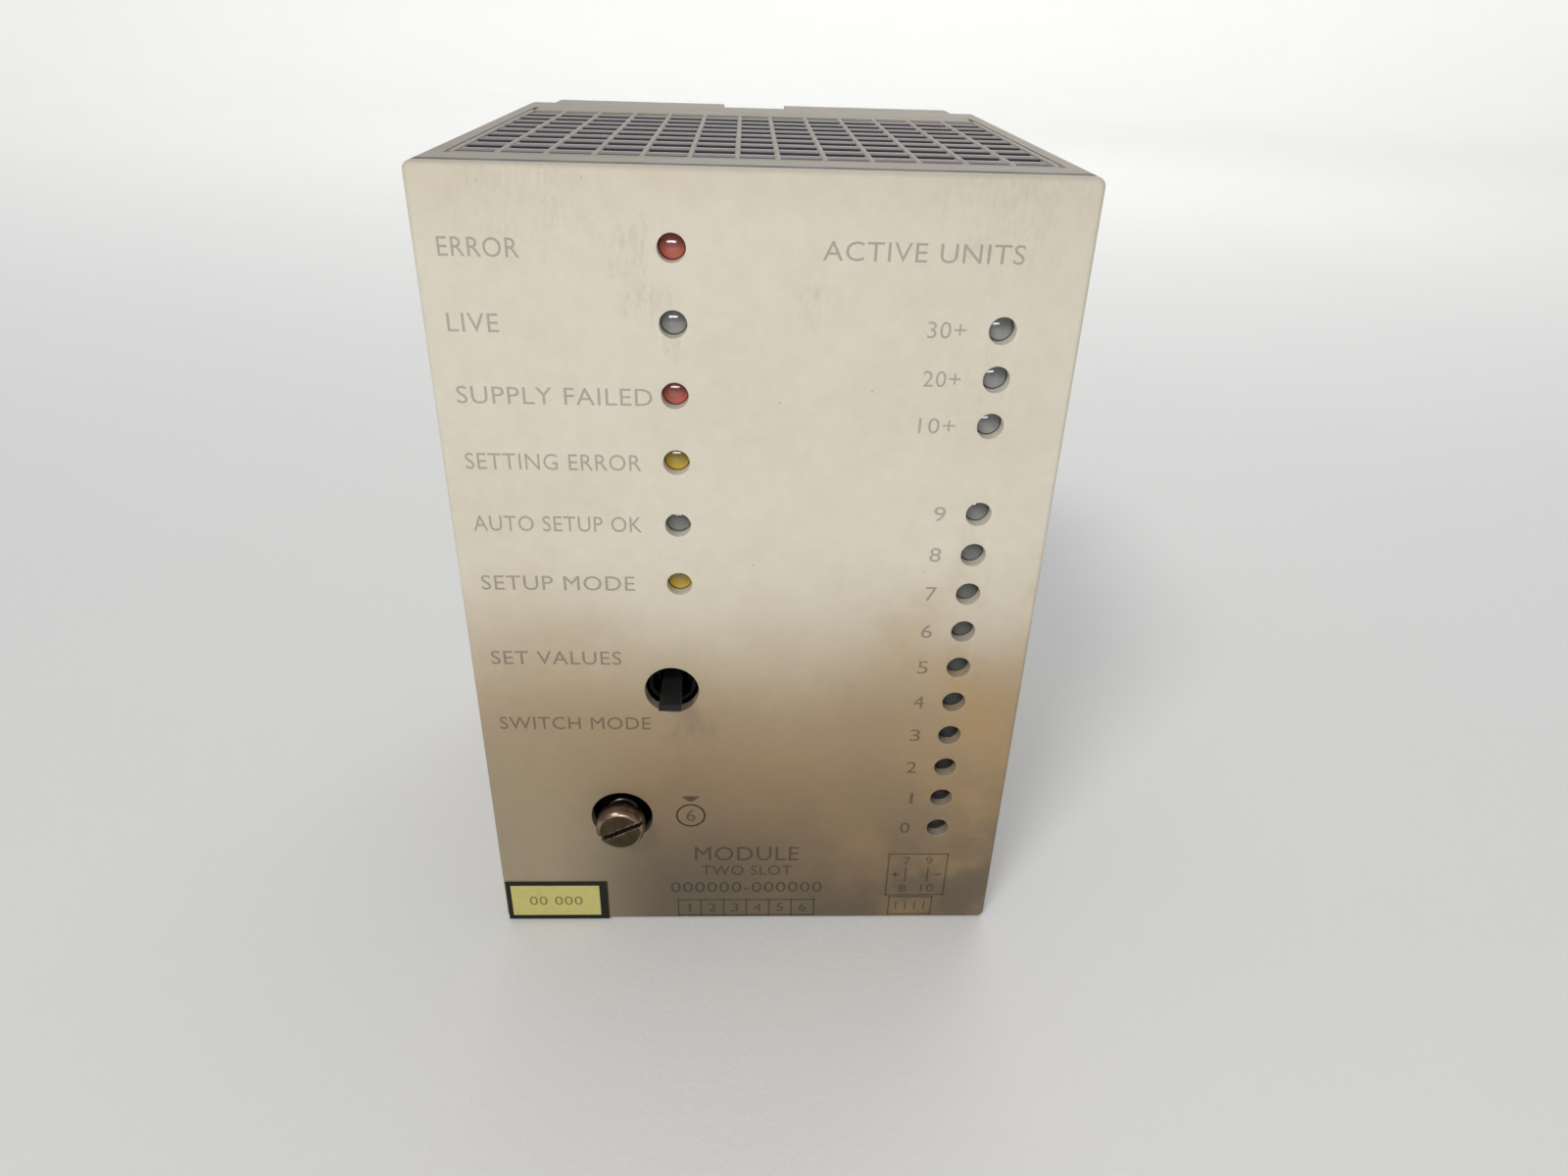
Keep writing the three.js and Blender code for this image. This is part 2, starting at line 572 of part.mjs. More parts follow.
// An E-shaped core with a bobbin of wire round its middle leg.
function addTransformer(face) {
  const left = face - CORE.far;
  const right = face - CORE.near;
  let core = onBoard(left, right, CORE.low, CORE.high);
  core = core.subtract(onBoard(left - PAST, right + PAST, CORE_WINDOW.low, CORE_WINDOW.high));
  core = core.add(onBoard(left, right, CORE_LEG.low, CORE_LEG.high));
  addPiece('transformer_core', core, colours.can);

  const [legFront] = CORE_LEG.low;
  const [legBack] = CORE_LEG.high;
  const holeLow = [legFront - GAP, CORE.low[1]];
  const holeHigh = [legBack + GAP, CORE.high[1]];
  let winding = onBoard(left - WINDING.past, face, WINDING.low, WINDING.high);
  winding = winding.subtract(onBoard(left - GAP, right + GAP, holeLow, holeHigh));
  addPiece('transformer_winding', winding, colours.copper);
}

function addHeatSink(face) {
  const { low, high, plate, reach } = HEAT_SINK;
  const pieces = [onBoard(face - plate, face, low, high)];
  const [y0, z0] = low;
  const [, z1] = high;
  for (let i = 0; i < SINK_FIN.count; i += 1) {
    const y = y0 + i * SINK_FIN.pitch;
    pieces.push(onBoard(face - reach, face - plate / 2, [y, z0], [y + SINK_FIN.thickness, z1]));
  }
  addPiece('heat_sink', union(pieces), colours.aluminium);
}

function addLinkBoardParts() {
  const face = LINK_BOARD.x - GAP;
  const { y, z, radius, length } = CAPACITOR;
  addPiece('input_capacitor', barX(y, z, radius, face - length, face, 20), colours.can);
  addTransformer(face);
  addHeatSink(face);
  const regulator = onBoard(face - REGULATOR.depth, face, REGULATOR.low, REGULATOR.high);
  addPiece('voltage_regulator', regulator, colours.blackPlastic);
}

function addLabel() {
  const { left, right, bottom, top, front, back } = LABEL;
  addPiece('id_label', block([left, front, bottom], [right, back, top]), colours.label);
}

addFrontCover();
addSleeve();
addGrilles();
addRearCover();
addScrew();
addSwitch();
addLeds();
addLedHolders();
addBoards();
addSpacers();
addPlugs();
addBoardLinks();
addMainBoardParts();
addLinkBoardParts();
addLabel();

export default part;
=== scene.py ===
"""Visible shapes and finishes of a two-slot plug-in controller module.

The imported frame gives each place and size. Classes below stand for the sub-assemblies: front cover,
legends, indicator lights, toggle switch, fixing screw, case, rear plugs, boards and label. Each one
builds its meshes and dresses them, and main() puts them together under soft studio light.
"""
import logging
import math
from dataclasses import dataclass, field
from enum import Enum
from typing import Callable, Sequence

import bmesh
import bpy
from mathutils import Matrix, Vector


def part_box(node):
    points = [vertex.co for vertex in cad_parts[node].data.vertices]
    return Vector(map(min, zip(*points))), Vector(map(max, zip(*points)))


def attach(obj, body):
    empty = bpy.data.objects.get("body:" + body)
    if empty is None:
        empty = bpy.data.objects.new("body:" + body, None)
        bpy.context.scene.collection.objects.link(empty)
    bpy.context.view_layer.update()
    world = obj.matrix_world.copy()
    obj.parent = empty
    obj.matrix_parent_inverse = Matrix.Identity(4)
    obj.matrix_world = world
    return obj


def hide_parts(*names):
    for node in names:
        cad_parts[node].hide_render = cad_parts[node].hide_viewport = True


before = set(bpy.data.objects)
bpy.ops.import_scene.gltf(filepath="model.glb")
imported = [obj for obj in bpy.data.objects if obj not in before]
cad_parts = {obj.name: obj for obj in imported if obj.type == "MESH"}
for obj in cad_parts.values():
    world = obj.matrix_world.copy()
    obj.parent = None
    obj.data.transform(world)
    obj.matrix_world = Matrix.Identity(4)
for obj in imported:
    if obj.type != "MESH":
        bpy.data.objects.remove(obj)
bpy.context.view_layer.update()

log = logging.getLogger("module")

MM = 0.001
DOUBLES = 0.0001 * MM
PACKED_DOUBLES = 0.001 * MM
FLAT_ANGLE = 0.5
HOUSING = "housing"

Pair = tuple[float, float]
Triple = tuple[float, float, float]
Colour = tuple[float, float, float]


# ---------------------------------------------------------------- shader graphs


class Graph:
    """A short way to add, set and link the nodes of one node tree."""

    # A Mix node has one set of sockets for each type of data. These are the colour ones.
    COLOUR_A = 6
    COLOUR_B = 7
    COLOUR_RESULT = 2

    def __init__(self, tree: bpy.types.NodeTree) -> None:
        """Keeps the tree that the nodes go into."""
        self.tree = tree

    def add(self, kind: str, **settings: object) -> bpy.types.Node:
        """Adds a node.

        Args:
            kind: the node's type name.
            settings: attributes of the node, such as operation.

        Returns:
            The new node.
        """
        node = self.tree.nodes.new(kind)
        for name, value in settings.items():
            setattr(node, name, value)
        return node

    def feed(self, socket: bpy.types.NodeSocket, value: object) -> None:
        """Links value to socket if it is a socket, or else sets it."""
        if isinstance(value, bpy.types.NodeSocket):
            self.tree.links.new(value, socket)
        elif value is not None:
            socket.default_value = value

    def math(self, operation: str, a: object, b: object = None, clamp: bool = False) -> bpy.types.NodeSocket:
        """A Math node's result on one or two values."""
        node = self.add("ShaderNodeMath", operation=operation, use_clamp=clamp)
        self.feed(node.inputs[0], a)
        self.feed(node.inputs[1], b)
        return node.outputs[0]

    def times(self, first: object, *others: object) -> bpy.types.NodeSocket:
        """The product of two or more values."""
        result = first
        for other in others:
            result = self.math("MULTIPLY", result, other)
        return result

    def flip(self, value: object) -> bpy.types.NodeSocket:
        """One minus a value."""
        return self.math("SUBTRACT", 1.0, value)

    def size(self, value: object) -> bpy.types.NodeSocket:
        """A value without its sign."""
        return self.math("ABSOLUTE", value)

    def span(self, value: object, low: object, high: object) -> bpy.types.NodeSocket:
        """Value mapped smoothly from low..high to 0..1."""
        node = self.add("ShaderNodeMapRange", interpolation_type="SMOOTHSTEP")
        self.feed(node.inputs["Value"], value)
        self.feed(node.inputs["From Min"], low)
        self.feed(node.inputs["From Max"], high)
        return node.outputs["Result"]

    def noise(
        self, vector: object, scale: object, detail: float = 3.0, rough: float = 0.55
    ) -> bpy.types.NodeSocket:
        """A noise texture's factor, in cells per metre."""
        node = self.add("ShaderNodeTexNoise")
        self.feed(node.inputs["Vector"], vector)
        self.feed(node.inputs["Scale"], scale)
        self.feed(node.inputs["Detail"], detail)
        self.feed(node.inputs["Roughness"], rough)
        return node.outputs["Fac"]

    def mix(self, factor: object, a: object, b: object, blend: str = "MIX") -> bpy.types.NodeSocket:
        """Two colours mixed by a factor."""
        node = self.add("ShaderNodeMix", data_type="RGBA", blend_type=blend)
        self.feed(node.inputs["Factor"], factor)
        self.feed(node.inputs[self.COLOUR_A], padded(a))
        self.feed(node.inputs[self.COLOUR_B], padded(b))
        return node.outputs[self.COLOUR_RESULT]

    def place(self) -> bpy.types.NodeSocket:
        """Object coordinates, which are the part's own frame in metres."""
        return self.add("ShaderNodeTexCoord").outputs["Object"]

    def normal(self) -> bpy.types.NodeSocket:
        """The way that the surface faces."""
        return self.add("ShaderNodeNewGeometry").outputs["Normal"]

    def split(self, vector: object) -> tuple[bpy.types.NodeSocket, ...]:
        """The X, Y and Z of a vector."""
        node = self.add("ShaderNodeSeparateXYZ")
        self.feed(node.inputs[0], vector)
        return tuple(node.outputs)


def padded(colour: object) -> object:
    """A three-part colour with a full alpha, and anything else as it is."""
    if isinstance(colour, tuple) and len(colour) == 3:
        return (*colour, 1.0)
    return colour


@dataclass(frozen=True)
class GroupSocket:
    """A named input or output of a node group."""

    name: str
    kind: str
    value: object = None


def shader_group(
    name: str,
    inputs: Sequence[GroupSocket],
    outputs: Sequence[GroupSocket],
    fill: Callable[[Graph, bpy.types.Node, bpy.types.Node], None],
) -> bpy.types.NodeTree:
    """Builds a shader node group once and returns it on every later call.

    Args:
        name: the group's name.
        inputs: its input sockets.
        outputs: its output sockets.
        fill: adds the nodes between the group's input and output nodes.

    Returns:
        The node group.
    """
    tree = bpy.data.node_groups.get(name)
    if tree:
        return tree
    tree = bpy.data.node_groups.new(name, "ShaderNodeTree")
    for side, sockets in (("INPUT", inputs), ("OUTPUT", outputs)):
        for socket in sockets:
            made = tree.interface.new_socket(name=socket.name, in_out=side, socket_type=socket.kind)
            if socket.value is not None:
                made.default_value = socket.value
    graph = Graph(tree)
    fill(graph, graph.add("NodeGroupInput"), graph.add("NodeGroupOutput"))
    return tree


FLOAT = "NodeSocketFloat"
INTEGER = "NodeSocketInt"
VECTOR = "NodeSocketVector"

# Where each mask goes from none to full.
WORN_PATCHES = (0.38, 0.62)
DUST_SLOPE = (0.35, 1.0)
DUST_DRIFT = (0.3, 0.75)
DARK_MARK_PATCHES = (0.40, 0.72)
SPECK_EDGE = (0.015, 0.055)


def edge_wear_group() -> bpy.types.NodeTree:
    """A mask that is bright along worn edges. Inputs: Radius, Gain and Breakup."""

    def fill(graph: Graph, ins: bpy.types.Node, outs: bpy.types.Node) -> None:
        bevel = graph.add("ShaderNodeBevel", samples=6)
        graph.feed(bevel.inputs["Radius"], ins.outputs["Radius"])
        geometry = graph.add("ShaderNodeNewGeometry")
        facing = graph.add("ShaderNodeVectorMath", operation="DOT_PRODUCT")
        graph.feed(facing.inputs[0], bevel.outputs[0])
        graph.feed(facing.inputs[1], geometry.outputs["True Normal"])
        turn = graph.math("SUBTRACT", 1.0, facing.outputs["Value"], clamp=True)
        edge = graph.math("MULTIPLY", turn, ins.outputs["Gain"], clamp=True)
        patches = graph.noise(graph.place(), ins.outputs["Breakup"], detail=4.0)
        kept = graph.span(patches, *WORN_PATCHES)
        graph.feed(outs.inputs["Mask"], graph.times(edge, kept))

    return shader_group(
        "edge_wear",
        [
            GroupSocket("Radius", FLOAT, 0.0004),
            GroupSocket("Gain", FLOAT, 4.0),
            GroupSocket("Breakup", FLOAT, 900.0),
        ],
        [GroupSocket("Mask", FLOAT)],
        fill,
    )


def grain_group() -> bpy.types.NodeTree:
    """The fine texture of a moulded surface. Inputs: Scale and Coarse. Output: Height."""

    def fill(graph: Graph, ins: bpy.types.Node, outs: bpy.types.Node) -> None:
        place = graph.place()
        fine = graph.noise(place, ins.outputs["Scale"], detail=2.0)
        coarse_share = 0.22
        coarse = graph.noise(place, graph.times(ins.outputs["Scale"], coarse_share), detail=1.0)
        weighted = graph.times(coarse, ins.outputs["Coarse"])
        graph.feed(outs.inputs["Height"], graph.math("ADD", fine, weighted))

    return shader_group(
        "moulded_grain",
        [GroupSocket("Scale", FLOAT, 4000.0), GroupSocket("Coarse", FLOAT, 0.6)],
        [GroupSocket("Height", FLOAT)],
        fill,
    )


def dust_group() -> bpy.types.NodeTree:
    """A mask of dust that lies on faces that look up. Inputs: Amount and Scale."""

    def fill(graph: Graph, ins: bpy.types.Node, outs: bpy.types.Node) -> None:
        up = graph.span(graph.split(graph.normal())[2], *DUST_SLOPE)
        cloud = graph.noise(graph.place(), ins.outputs["Scale"], detail=5.0, rough=0.65)
        lying = graph.times(up, graph.span(cloud, *DUST_DRIFT))
        graph.feed(outs.inputs["Mask"], graph.math("MULTIPLY", lying, ins.outputs["Amount"], clamp=True))

    return shader_group(
        "dust_film",
        [GroupSocket("Amount", FLOAT, 0.5), GroupSocket("Scale", FLOAT, 120.0)],
        [GroupSocket("Mask", FLOAT)],
        fill,
    )


def smudge_and_shadow_group() -> bpy.types.NodeTree:
    """A soft broken patch about a centre. Inputs: Centre, Radius, Scale and Strength."""

    def fill(graph: Graph, ins: bpy.types.Node, outs: bpy.types.Node) -> None:
        place = graph.place()
        away = graph.add("ShaderNodeVectorMath", operation="DISTANCE")
        graph.feed(away.inputs[0], place)
        graph.feed(away.inputs[1], ins.outputs["Centre"])
        share = graph.math("DIVIDE", away.outputs["Value"], ins.outputs["Radius"])
        raggedness = 2.6
        cloud = graph.math("SUBTRACT", graph.noise(place, 260.0, 6.0, 0.7), 0.5)
        ragged = graph.math("ADD", share, graph.times(cloud, raggedness))
        near = graph.flip(graph.span(ragged, 0.0, 1.0))
        smear = graph.add("ShaderNodeMapping")
        graph.feed(smear.inputs["Vector"], place)
        graph.feed(smear.inputs["Rotation"], (0.0, 0.9, 0.0))
        graph.feed(smear.inputs["Scale"], (1.0, 1.0, 0.35))
        patches = graph.noise(smear.outputs["Vector"], ins.outputs["Scale"], detail=8.0, rough=0.75)
        mask = graph.times(near, graph.span(patches, *DARK_MARK_PATCHES))
        graph.feed(outs.inputs["Mask"], graph.math("MULTIPLY", mask, ins.outputs["Strength"], clamp=True))

    return shader_group(
        "dark_mark",
        [
            GroupSocket("Centre", VECTOR),
            GroupSocket("Radius", FLOAT, 0.01),
            GroupSocket("Scale", FLOAT, 700.0),
            GroupSocket("Strength", FLOAT, 0.5),
        ],
        [GroupSocket("Mask", FLOAT)],
        fill,
    )


def speck_group() -> bpy.types.NodeTree:
    """A mask of small scattered dirt specks. Inputs: Scale, and Share of the cells that hold one."""

    def fill(graph: Graph, ins: bpy.types.Node, outs: bpy.types.Node) -> None:
        cells = graph.add("ShaderNodeTexVoronoi")
        graph.feed(cells.inputs["Vector"], graph.place())
        graph.feed(cells.inputs["Scale"], ins.outputs["Scale"])
        chance = graph.split(cells.outputs["Color"])[0]
        chosen = graph.math("LESS_THAN", chance, ins.outputs["Share"])
        spot = graph.flip(graph.span(cells.outputs["Distance"], *SPECK_EDGE))
        darkness = 0.75
        graph.feed(outs.inputs["Mask"], graph.times(spot, darkness, chosen))

    return shader_group(
        "dirt_specks",
        [GroupSocket("Scale", FLOAT, 300.0), GroupSocket("Share", FLOAT, 0.15)],
        [GroupSocket("Mask", FLOAT)],
        fill,
    )


def mottle_group() -> bpy.types.NodeTree:
    """A slow change of tone over a surface. Inputs: Scale and Contrast. Output: Tone, about 1."""

    def fill(graph: Graph, ins: bpy.types.Node, outs: bpy.types.Node) -> None:
        cloud = graph.noise(graph.place(), ins.outputs["Scale"], detail=5.0, rough=0.6)
        swing = graph.times(graph.math("SUBTRACT", cloud, 0.5), ins.outputs["Contrast"])
        graph.feed(outs.inputs["Tone"], graph.math("ADD", 1.0, swing))

    return shader_group(
        "mottle",
        [GroupSocket("Scale", FLOAT, 60.0), GroupSocket("Contrast", FLOAT, 0.3)],
        [GroupSocket("Tone", FLOAT)],
        fill,
    )


def use_group(graph: Graph, tree: bpy.types.NodeTree, **values: object) -> bpy.types.NodeSocket:
    """Places a node group in a material.

    Args:
        graph: the material's graph.
        tree: the node group.
        values: input sockets by name, each a number or a socket.

    Returns:
        The group's first output.
    """
    node = graph.add("ShaderNodeGroup", node_tree=tree)
    for name, value in values.items():
        graph.feed(node.inputs[name], value)
    return node.outputs[0]


# ---------------------------------------------------------------- finishes


@dataclass(frozen=True)
class Finish:
    """A surface finish. Its material is made once, on first use."""

    name: str
    colour: Colour
    roughness: float = 0.5

    def material(self) -> bpy.types.Material:
        """Returns the finish's material, built on the first call."""
        made = bpy.data.materials.get(self.name)
        if made:
            return made
        made = bpy.data.materials.new(self.name)
        made.use_nodes = True
        made.diffuse_color = (*self.colour, 1.0)
        graph = Graph(made.node_tree)
        shader = made.node_tree.nodes["Principled BSDF"]
        self.dress(graph, shader)
        return made

    def dress(self, graph: Graph, shader: bpy.types.Node) -> None:
        """Sets up the shader. Each kind of finish has its own way."""
        raise NotImplementedError

    def bump(self, graph: Graph, shader: bpy.types.Node, height: object, depth: float) -> None:
        """Feeds a height to the shader's normal, depth metres deep."""
        node = graph.add("ShaderNodeBump")
        graph.feed(node.inputs["Strength"], 1.0)
        graph.feed(node.inputs["Distance"], depth)
        graph.feed(node.inputs["Height"], height)
        graph.feed(shader.inputs["Normal"], node.outputs["Normal"])


@dataclass(frozen=True)
class MouldedPlastic(Finish):
    """Moulded plastic with grain, worn edges and dust."""

    edge: Colour = (0.6, 0.58, 0.53)
    dust: Colour = (0.55, 0.52, 0.46)
    wear: float = 0.5
    dusting: float = 0.3
    grain: float = 4000.0
    grain_depth: float = 0.02 * MM
    gloss: float = 0.5
    wear_reach: float = 0.35 * MM
    wear_gain: float = 3.5
    wear_breakup: float = 700.0
    dust_scale: float = 160.0
    dust_roughness: float = 0.25

    def dress(self, graph: Graph, shader: bpy.types.Node) -> None:
        """Builds colour, roughness and grain."""
        colour = self.base(graph)
        gain = self.wear_gain * self.wear
        worn = use_group(
            graph, edge_wear_group(), Radius=self.wear_reach, Gain=gain, Breakup=self.wear_breakup
        )
        colour = graph.mix(worn, colour, self.edge)
        dusty = use_group(graph, dust_group(), Amount=self.dusting, Scale=self.dust_scale)
        colour = graph.mix(dusty, colour, self.dust)
        graph.feed(shader.inputs["Base Color"], colour)
        shader.inputs["Specular IOR Level"].default_value = self.gloss
        tone = use_group(graph, mottle_group(), Scale=250.0, Contrast=0.35)
        rough = graph.times(tone, self.roughness)
        dulled = graph.math("ADD", rough, graph.times(dusty, self.dust_roughness), clamp=True)
        graph.feed(shader.inputs["Roughness"], dulled)
        height = use_group(graph, grain_group(), Scale=self.grain, Coarse=0.7)
        self.bump(graph, shader, height, self.grain_depth)

    def base(self, graph: Graph) -> bpy.types.NodeSocket:
        """The plastic's own colour with its change of tone."""
        tone = use_group(graph, mottle_group(), Scale=45.0, Contrast=0.22)
        return graph.mix(1.0, self.colour, tone, "MULTIPLY")


@dataclass(frozen=True)
class SeamShadedSleeve(MouldedPlastic):
    """Sleeve plastic with a dark line of painted shade and grime where the front cover meets it."""

    seam: float = -44.2 * MM
    line: float = 1.0 * MM
    fade: float = 0.6 * MM
    top: Pair = (133.5 * MM, 134.5 * MM)
    side_share: float = 0.4
    top_share: float = 0.95
    # Painted shade in the seam between cover and sleeve, with some grime.
    seam_grime_and_shade: Colour = (0.05, 0.036, 0.036)

    def base(self, graph: Graph) -> bpy.types.NodeSocket:
        """The sleeve's own colour, darkened along the seam by painted shade with grime."""
        _, y, z = graph.split(graph.place())
        # Painted seam shade: a dark band behind the seam, stronger on the top than on the sides.
        edge = self.seam + self.line
        near = graph.flip(graph.span(y, edge, edge + self.fade))
        more = graph.times(graph.span(z, *self.top), self.top_share - self.side_share)
        strength = graph.math("ADD", self.side_share, more)
        return graph.mix(graph.times(near, strength), super().base(graph), self.seam_grime_and_shade)


@dataclass(frozen=True)
class ShadedSlatPlastic(MouldedPlastic):
    """Slat plastic, a darker painted-shade copy of the sleeve plastic: painted shade down in the slots and a
    painted highlight along each slat's rear edge.
    """

    start: float = 0.0
    pitch: float = 6.75 * MM
    width: float = 4.55 * MM
    highlight_width: float = 1.1 * MM
    highlight_fade: float = 0.02
    level: Pair = (0.35, 0.85)
    # Painted shade on the slot walls.
    dirt_and_shade: Colour = (0.035, 0.030, 0.030)
    # Painted highlight of light glancing off each slat's rear edge.
    rear_edge_highlight: Colour = (0.60, 0.58, 0.56)

    def base(self, graph: Graph) -> bpy.types.NodeSocket:
        """The slats' colour by where a point lies across its slat: a painted highlight on each rear strip and
        painted shade on the slot walls.
        """
        level = graph.span(graph.size(graph.split(graph.normal())[2]), *self.level)
        across = graph.math("SUBTRACT", graph.split(graph.place())[1], self.start)
        phase = graph.math("FRACT", graph.math("DIVIDE", across, self.pitch))
        highlight_from = (self.width - self.highlight_width) / self.pitch
        rear_edge_highlight = graph.span(phase, highlight_from - self.highlight_fade, highlight_from + self.highlight_fade)
        colour = graph.mix(rear_edge_highlight, super().base(graph), self.rear_edge_highlight)
        return graph.mix(level, self.dirt_and_shade, colour)


@dataclass(frozen=True)
class SmudgeAndShadow:
    """A dirty patch on the front, in the part's frame; one of them is the switch lever's painted shadow."""

    x: float
    z: float
    radius: float
    strength: float
    scale: float = 700.0


@dataclass(frozen=True)
class ShadedAgedCover(MouldedPlastic):
    """Cover plastic darkened towards its foot by painted shade together with browning from heat and age, and
    browned towards its right side.
    """

    # Tones from the top down to the foot: painted shade that deepens towards the foot, together with
    # browning.
    mid_tone: Colour = (0.33, 0.25, 0.155)
    waist_shade_tone: Colour = (0.225, 0.155, 0.085)
    foot_shade_tone: Colour = (0.100, 0.075, 0.047)
    left_low_tone: Colour = (0.275, 0.228, 0.152)
    # Painted light where light from above falls on the hole walls.
    wall_light_tone: Colour = (0.80, 0.76, 0.68)
    # Painted shade with grime along the seam.
    seam_grime_and_shade: Colour = (0.05, 0.036, 0.036)
    scorched: Colour = (0.36, 0.235, 0.10)
    # Dirt colour, also used for the switch lever's painted shadow.
    dirt_and_shade: Colour = (0.16, 0.13, 0.09)
    drift: float = 16.0 * MM
    foot_rise: Pair = (6.0 * MM, 40.0 * MM)
    waist_rise: Pair = (30.0 * MM, 60.0 * MM)
    chest_rise: Pair = (46.0 * MM, 82.0 * MM)
    top_rise: Pair = (126.0 * MM, 134.5 * MM)
    left_side: Pair = (-40.0 * MM, -14.0 * MM)
    right_side: Pair = (5.0 * MM, 45.0 * MM)
    scorch_rise: Pair = (65.0 * MM, 100.0 * MM)
    warm_patches: Pair = (0.42, 0.7)
    wall_slope: Pair = (0.3, 0.8)
    wall_reach: Pair = (44.0 * MM, 44.5 * MM)
    wall_top: Pair = (132.5 * MM, 133.5 * MM)
    wall_foot: Pair = (1.0 * MM, 2.0 * MM)
    wall_rise: Pair = (50.0 * MM, 100.0 * MM)
    foot_left_share: float = 0.9
    waist_left_share: float = 0.8
    top_share: float = 0.14
    scorch_share: float = 0.55
    cloud_share: float = 0.10
    seam_shade_share: float = 0.9
    wall_low_share: float = 0.12
    wall_high_share: float = 0.60
    seam: float = -44.75 * MM
    seam_fade: float = 0.3 * MM
    rim_reach: Pair = (44.5 * MM, 45.0 * MM)
    rim_top: Pair = (134.0 * MM, 134.5 * MM)
    front: float = 0.0
    smudges_and_shadow: tuple[SmudgeAndShadow, ...] = ()

    def base(self, graph: Graph) -> bpy.types.NodeSocket:
        """Beige above, darker brown below by painted shade and browning, with stains, dirty patches, a
        painted lever shadow, painted light on the hole walls and painted shade along the seam.
        """
        place = graph.place()
        colour = self.shaded_and_aged(graph, place)
        colour = self.stained(graph, place, colour)
        colour = self.marked(graph, colour)
        colour = self.painted_wall_light(graph, place, colour)
        return self.dark_seam(graph, place, colour)

    def shaded_and_aged(self, graph: Graph, place: object) -> bpy.types.NodeSocket:
        """The plastic's colour by height, painted shade together with browning: darkest at the foot, and less
        so at the left.
        """
        x, _, z = graph.split(place)
        cloud = graph.math("SUBTRACT", graph.noise(place, 30.0, 4.0), 0.5)
        level = graph.math("ADD", z, graph.times(cloud, self.drift))
        left = graph.flip(graph.span(x, *self.left_side))
        foot = graph.mix(graph.times(left, self.foot_left_share), self.foot_shade_tone, self.left_low_tone)
        waist = graph.mix(graph.times(left, self.waist_left_share), self.waist_shade_tone, self.left_low_tone)
        colour = graph.mix(graph.span(level, *self.foot_rise), foot, waist)
        colour = graph.mix(graph.span(level, *self.waist_rise), colour, self.mid_tone)
        colour = graph.mix(graph.span(level, *self.chest_rise), colour, self.colour)
        top = graph.times(graph.span(z, *self.top_rise), self.top_share)
        return graph.mix(top, colour, self.mid_tone)

    def stained(self, graph: Graph, place: object, colour: object) -> bpy.types.NodeSocket:
        """Warm clouds, strongest low down at the right, and a fine mottle."""
        x, _, z = graph.split(place)
        warm = graph.span(graph.noise(place, 42.0, 6.0, 0.6), *self.warm_patches)
        right = graph.span(x, *self.right_side)
        low = graph.flip(graph.span(z, *self.scorch_rise))
        colour = graph.mix(graph.times(warm, right, low, self.scorch_share), colour, self.scorched)
        colour = graph.mix(graph.times(warm, self.cloud_share), colour, self.scorched)
        tone = use_group(graph, mottle_group(), Scale=420.0, Contrast=0.15)
        return graph.mix(1.0, colour, tone, "MULTIPLY")

    def marked(self, graph: Graph, colour: object) -> bpy.types.NodeSocket:
        """Specks of dirt all over and each smudge in its place, the switch lever's painted shadow among them.
        """
        colour = graph.mix(use_group(graph, speck_group(), Scale=300.0, Share=0.16), colour, self.dirt_and_shade)
        for dark_mark in self.smudges_and_shadow:
            mask = use_group(
                graph,
                smudge_and_shadow_group(),
                Centre=(dark_mark.x, self.front, dark_mark.z),
                Radius=dark_mark.radius,
                Scale=dark_mark.scale,
                Strength=dark_mark.strength,
            )
            colour = graph.mix(mask, colour, self.dirt_and_shade)
        return colour

    def painted_wall_light(self, graph: Graph, place: object, colour: object) -> bpy.types.NodeSocket:
        """Painted light on the walls of the round holes, more of it higher up."""
        x, _, z = graph.split(place)
        forward = graph.size(graph.split(graph.normal())[1])
        wall = graph.flip(graph.span(forward, *self.wall_slope))
        inside = graph.flip(graph.span(graph.size(x), *self.wall_reach))
        below = graph.flip(graph.span(z, *self.wall_top))
        above = graph.span(z, *self.wall_foot)
        more = graph.times(graph.span(z, *self.wall_rise), self.wall_high_share - self.wall_low_share)
        share = graph.math("ADD", self.wall_low_share, more)
        return graph.mix(graph.times(inside, below, above, wall, share), colour, self.wall_light_tone)

    def dark_seam(self, graph: Graph, place: object, colour: object) -> bpy.types.NodeSocket:
        """Painted shade with grime along the cover's rear edge, on its sides and top."""
        x, y, z = graph.split(place)
        rear = graph.span(y, self.seam - self.seam_fade, self.seam)
        side = graph.span(graph.size(x), *self.rim_reach)
        rim = graph.math("MAXIMUM", side, graph.span(z, *self.rim_top))
        return graph.mix(graph.times(rim, self.seam_shade_share, rear), colour, self.seam_grime_and_shade)


@dataclass(frozen=True)
class PlatedMetal(Finish):
    """Plated or plain metal with stains, fine scratches and worn edges."""

    stain: Colour = (0.25, 0.16, 0.12)
    bare: Colour = (0.75, 0.74, 0.7)
    staining: float = 0.5
    patch: float = 900.0
    patches: Pair = (0.40, 0.72)
    patch_roughness: float = 0.22
    scratch: float = 1500.0
    scratch_depth: float = 0.012 * MM

    def dress(self, graph: Graph, shader: bpy.types.Node) -> None:
        """Builds the metal's colour, roughness and scratches."""
        place = graph.place()
        patches = graph.span(graph.noise(place, self.patch, 4.0, 0.6), *self.patches)
        colour = graph.mix(graph.times(patches, self.staining), self.colour, self.stain)
        worn = use_group(graph, edge_wear_group(), Radius=0.2 * MM, Gain=3.0, Breakup=1500.0)
        graph.feed(shader.inputs["Base Color"], graph.mix(worn, colour, self.bare))
        shader.inputs["Metallic"].default_value = 1.0
        rough = graph.math("ADD", self.roughness, graph.times(patches, self.patch_roughness))
        graph.feed(shader.inputs["Roughness"], rough)
        self.bump(graph, shader, graph.noise(place, self.scratch, 6.0, 0.75), self.scratch_depth)


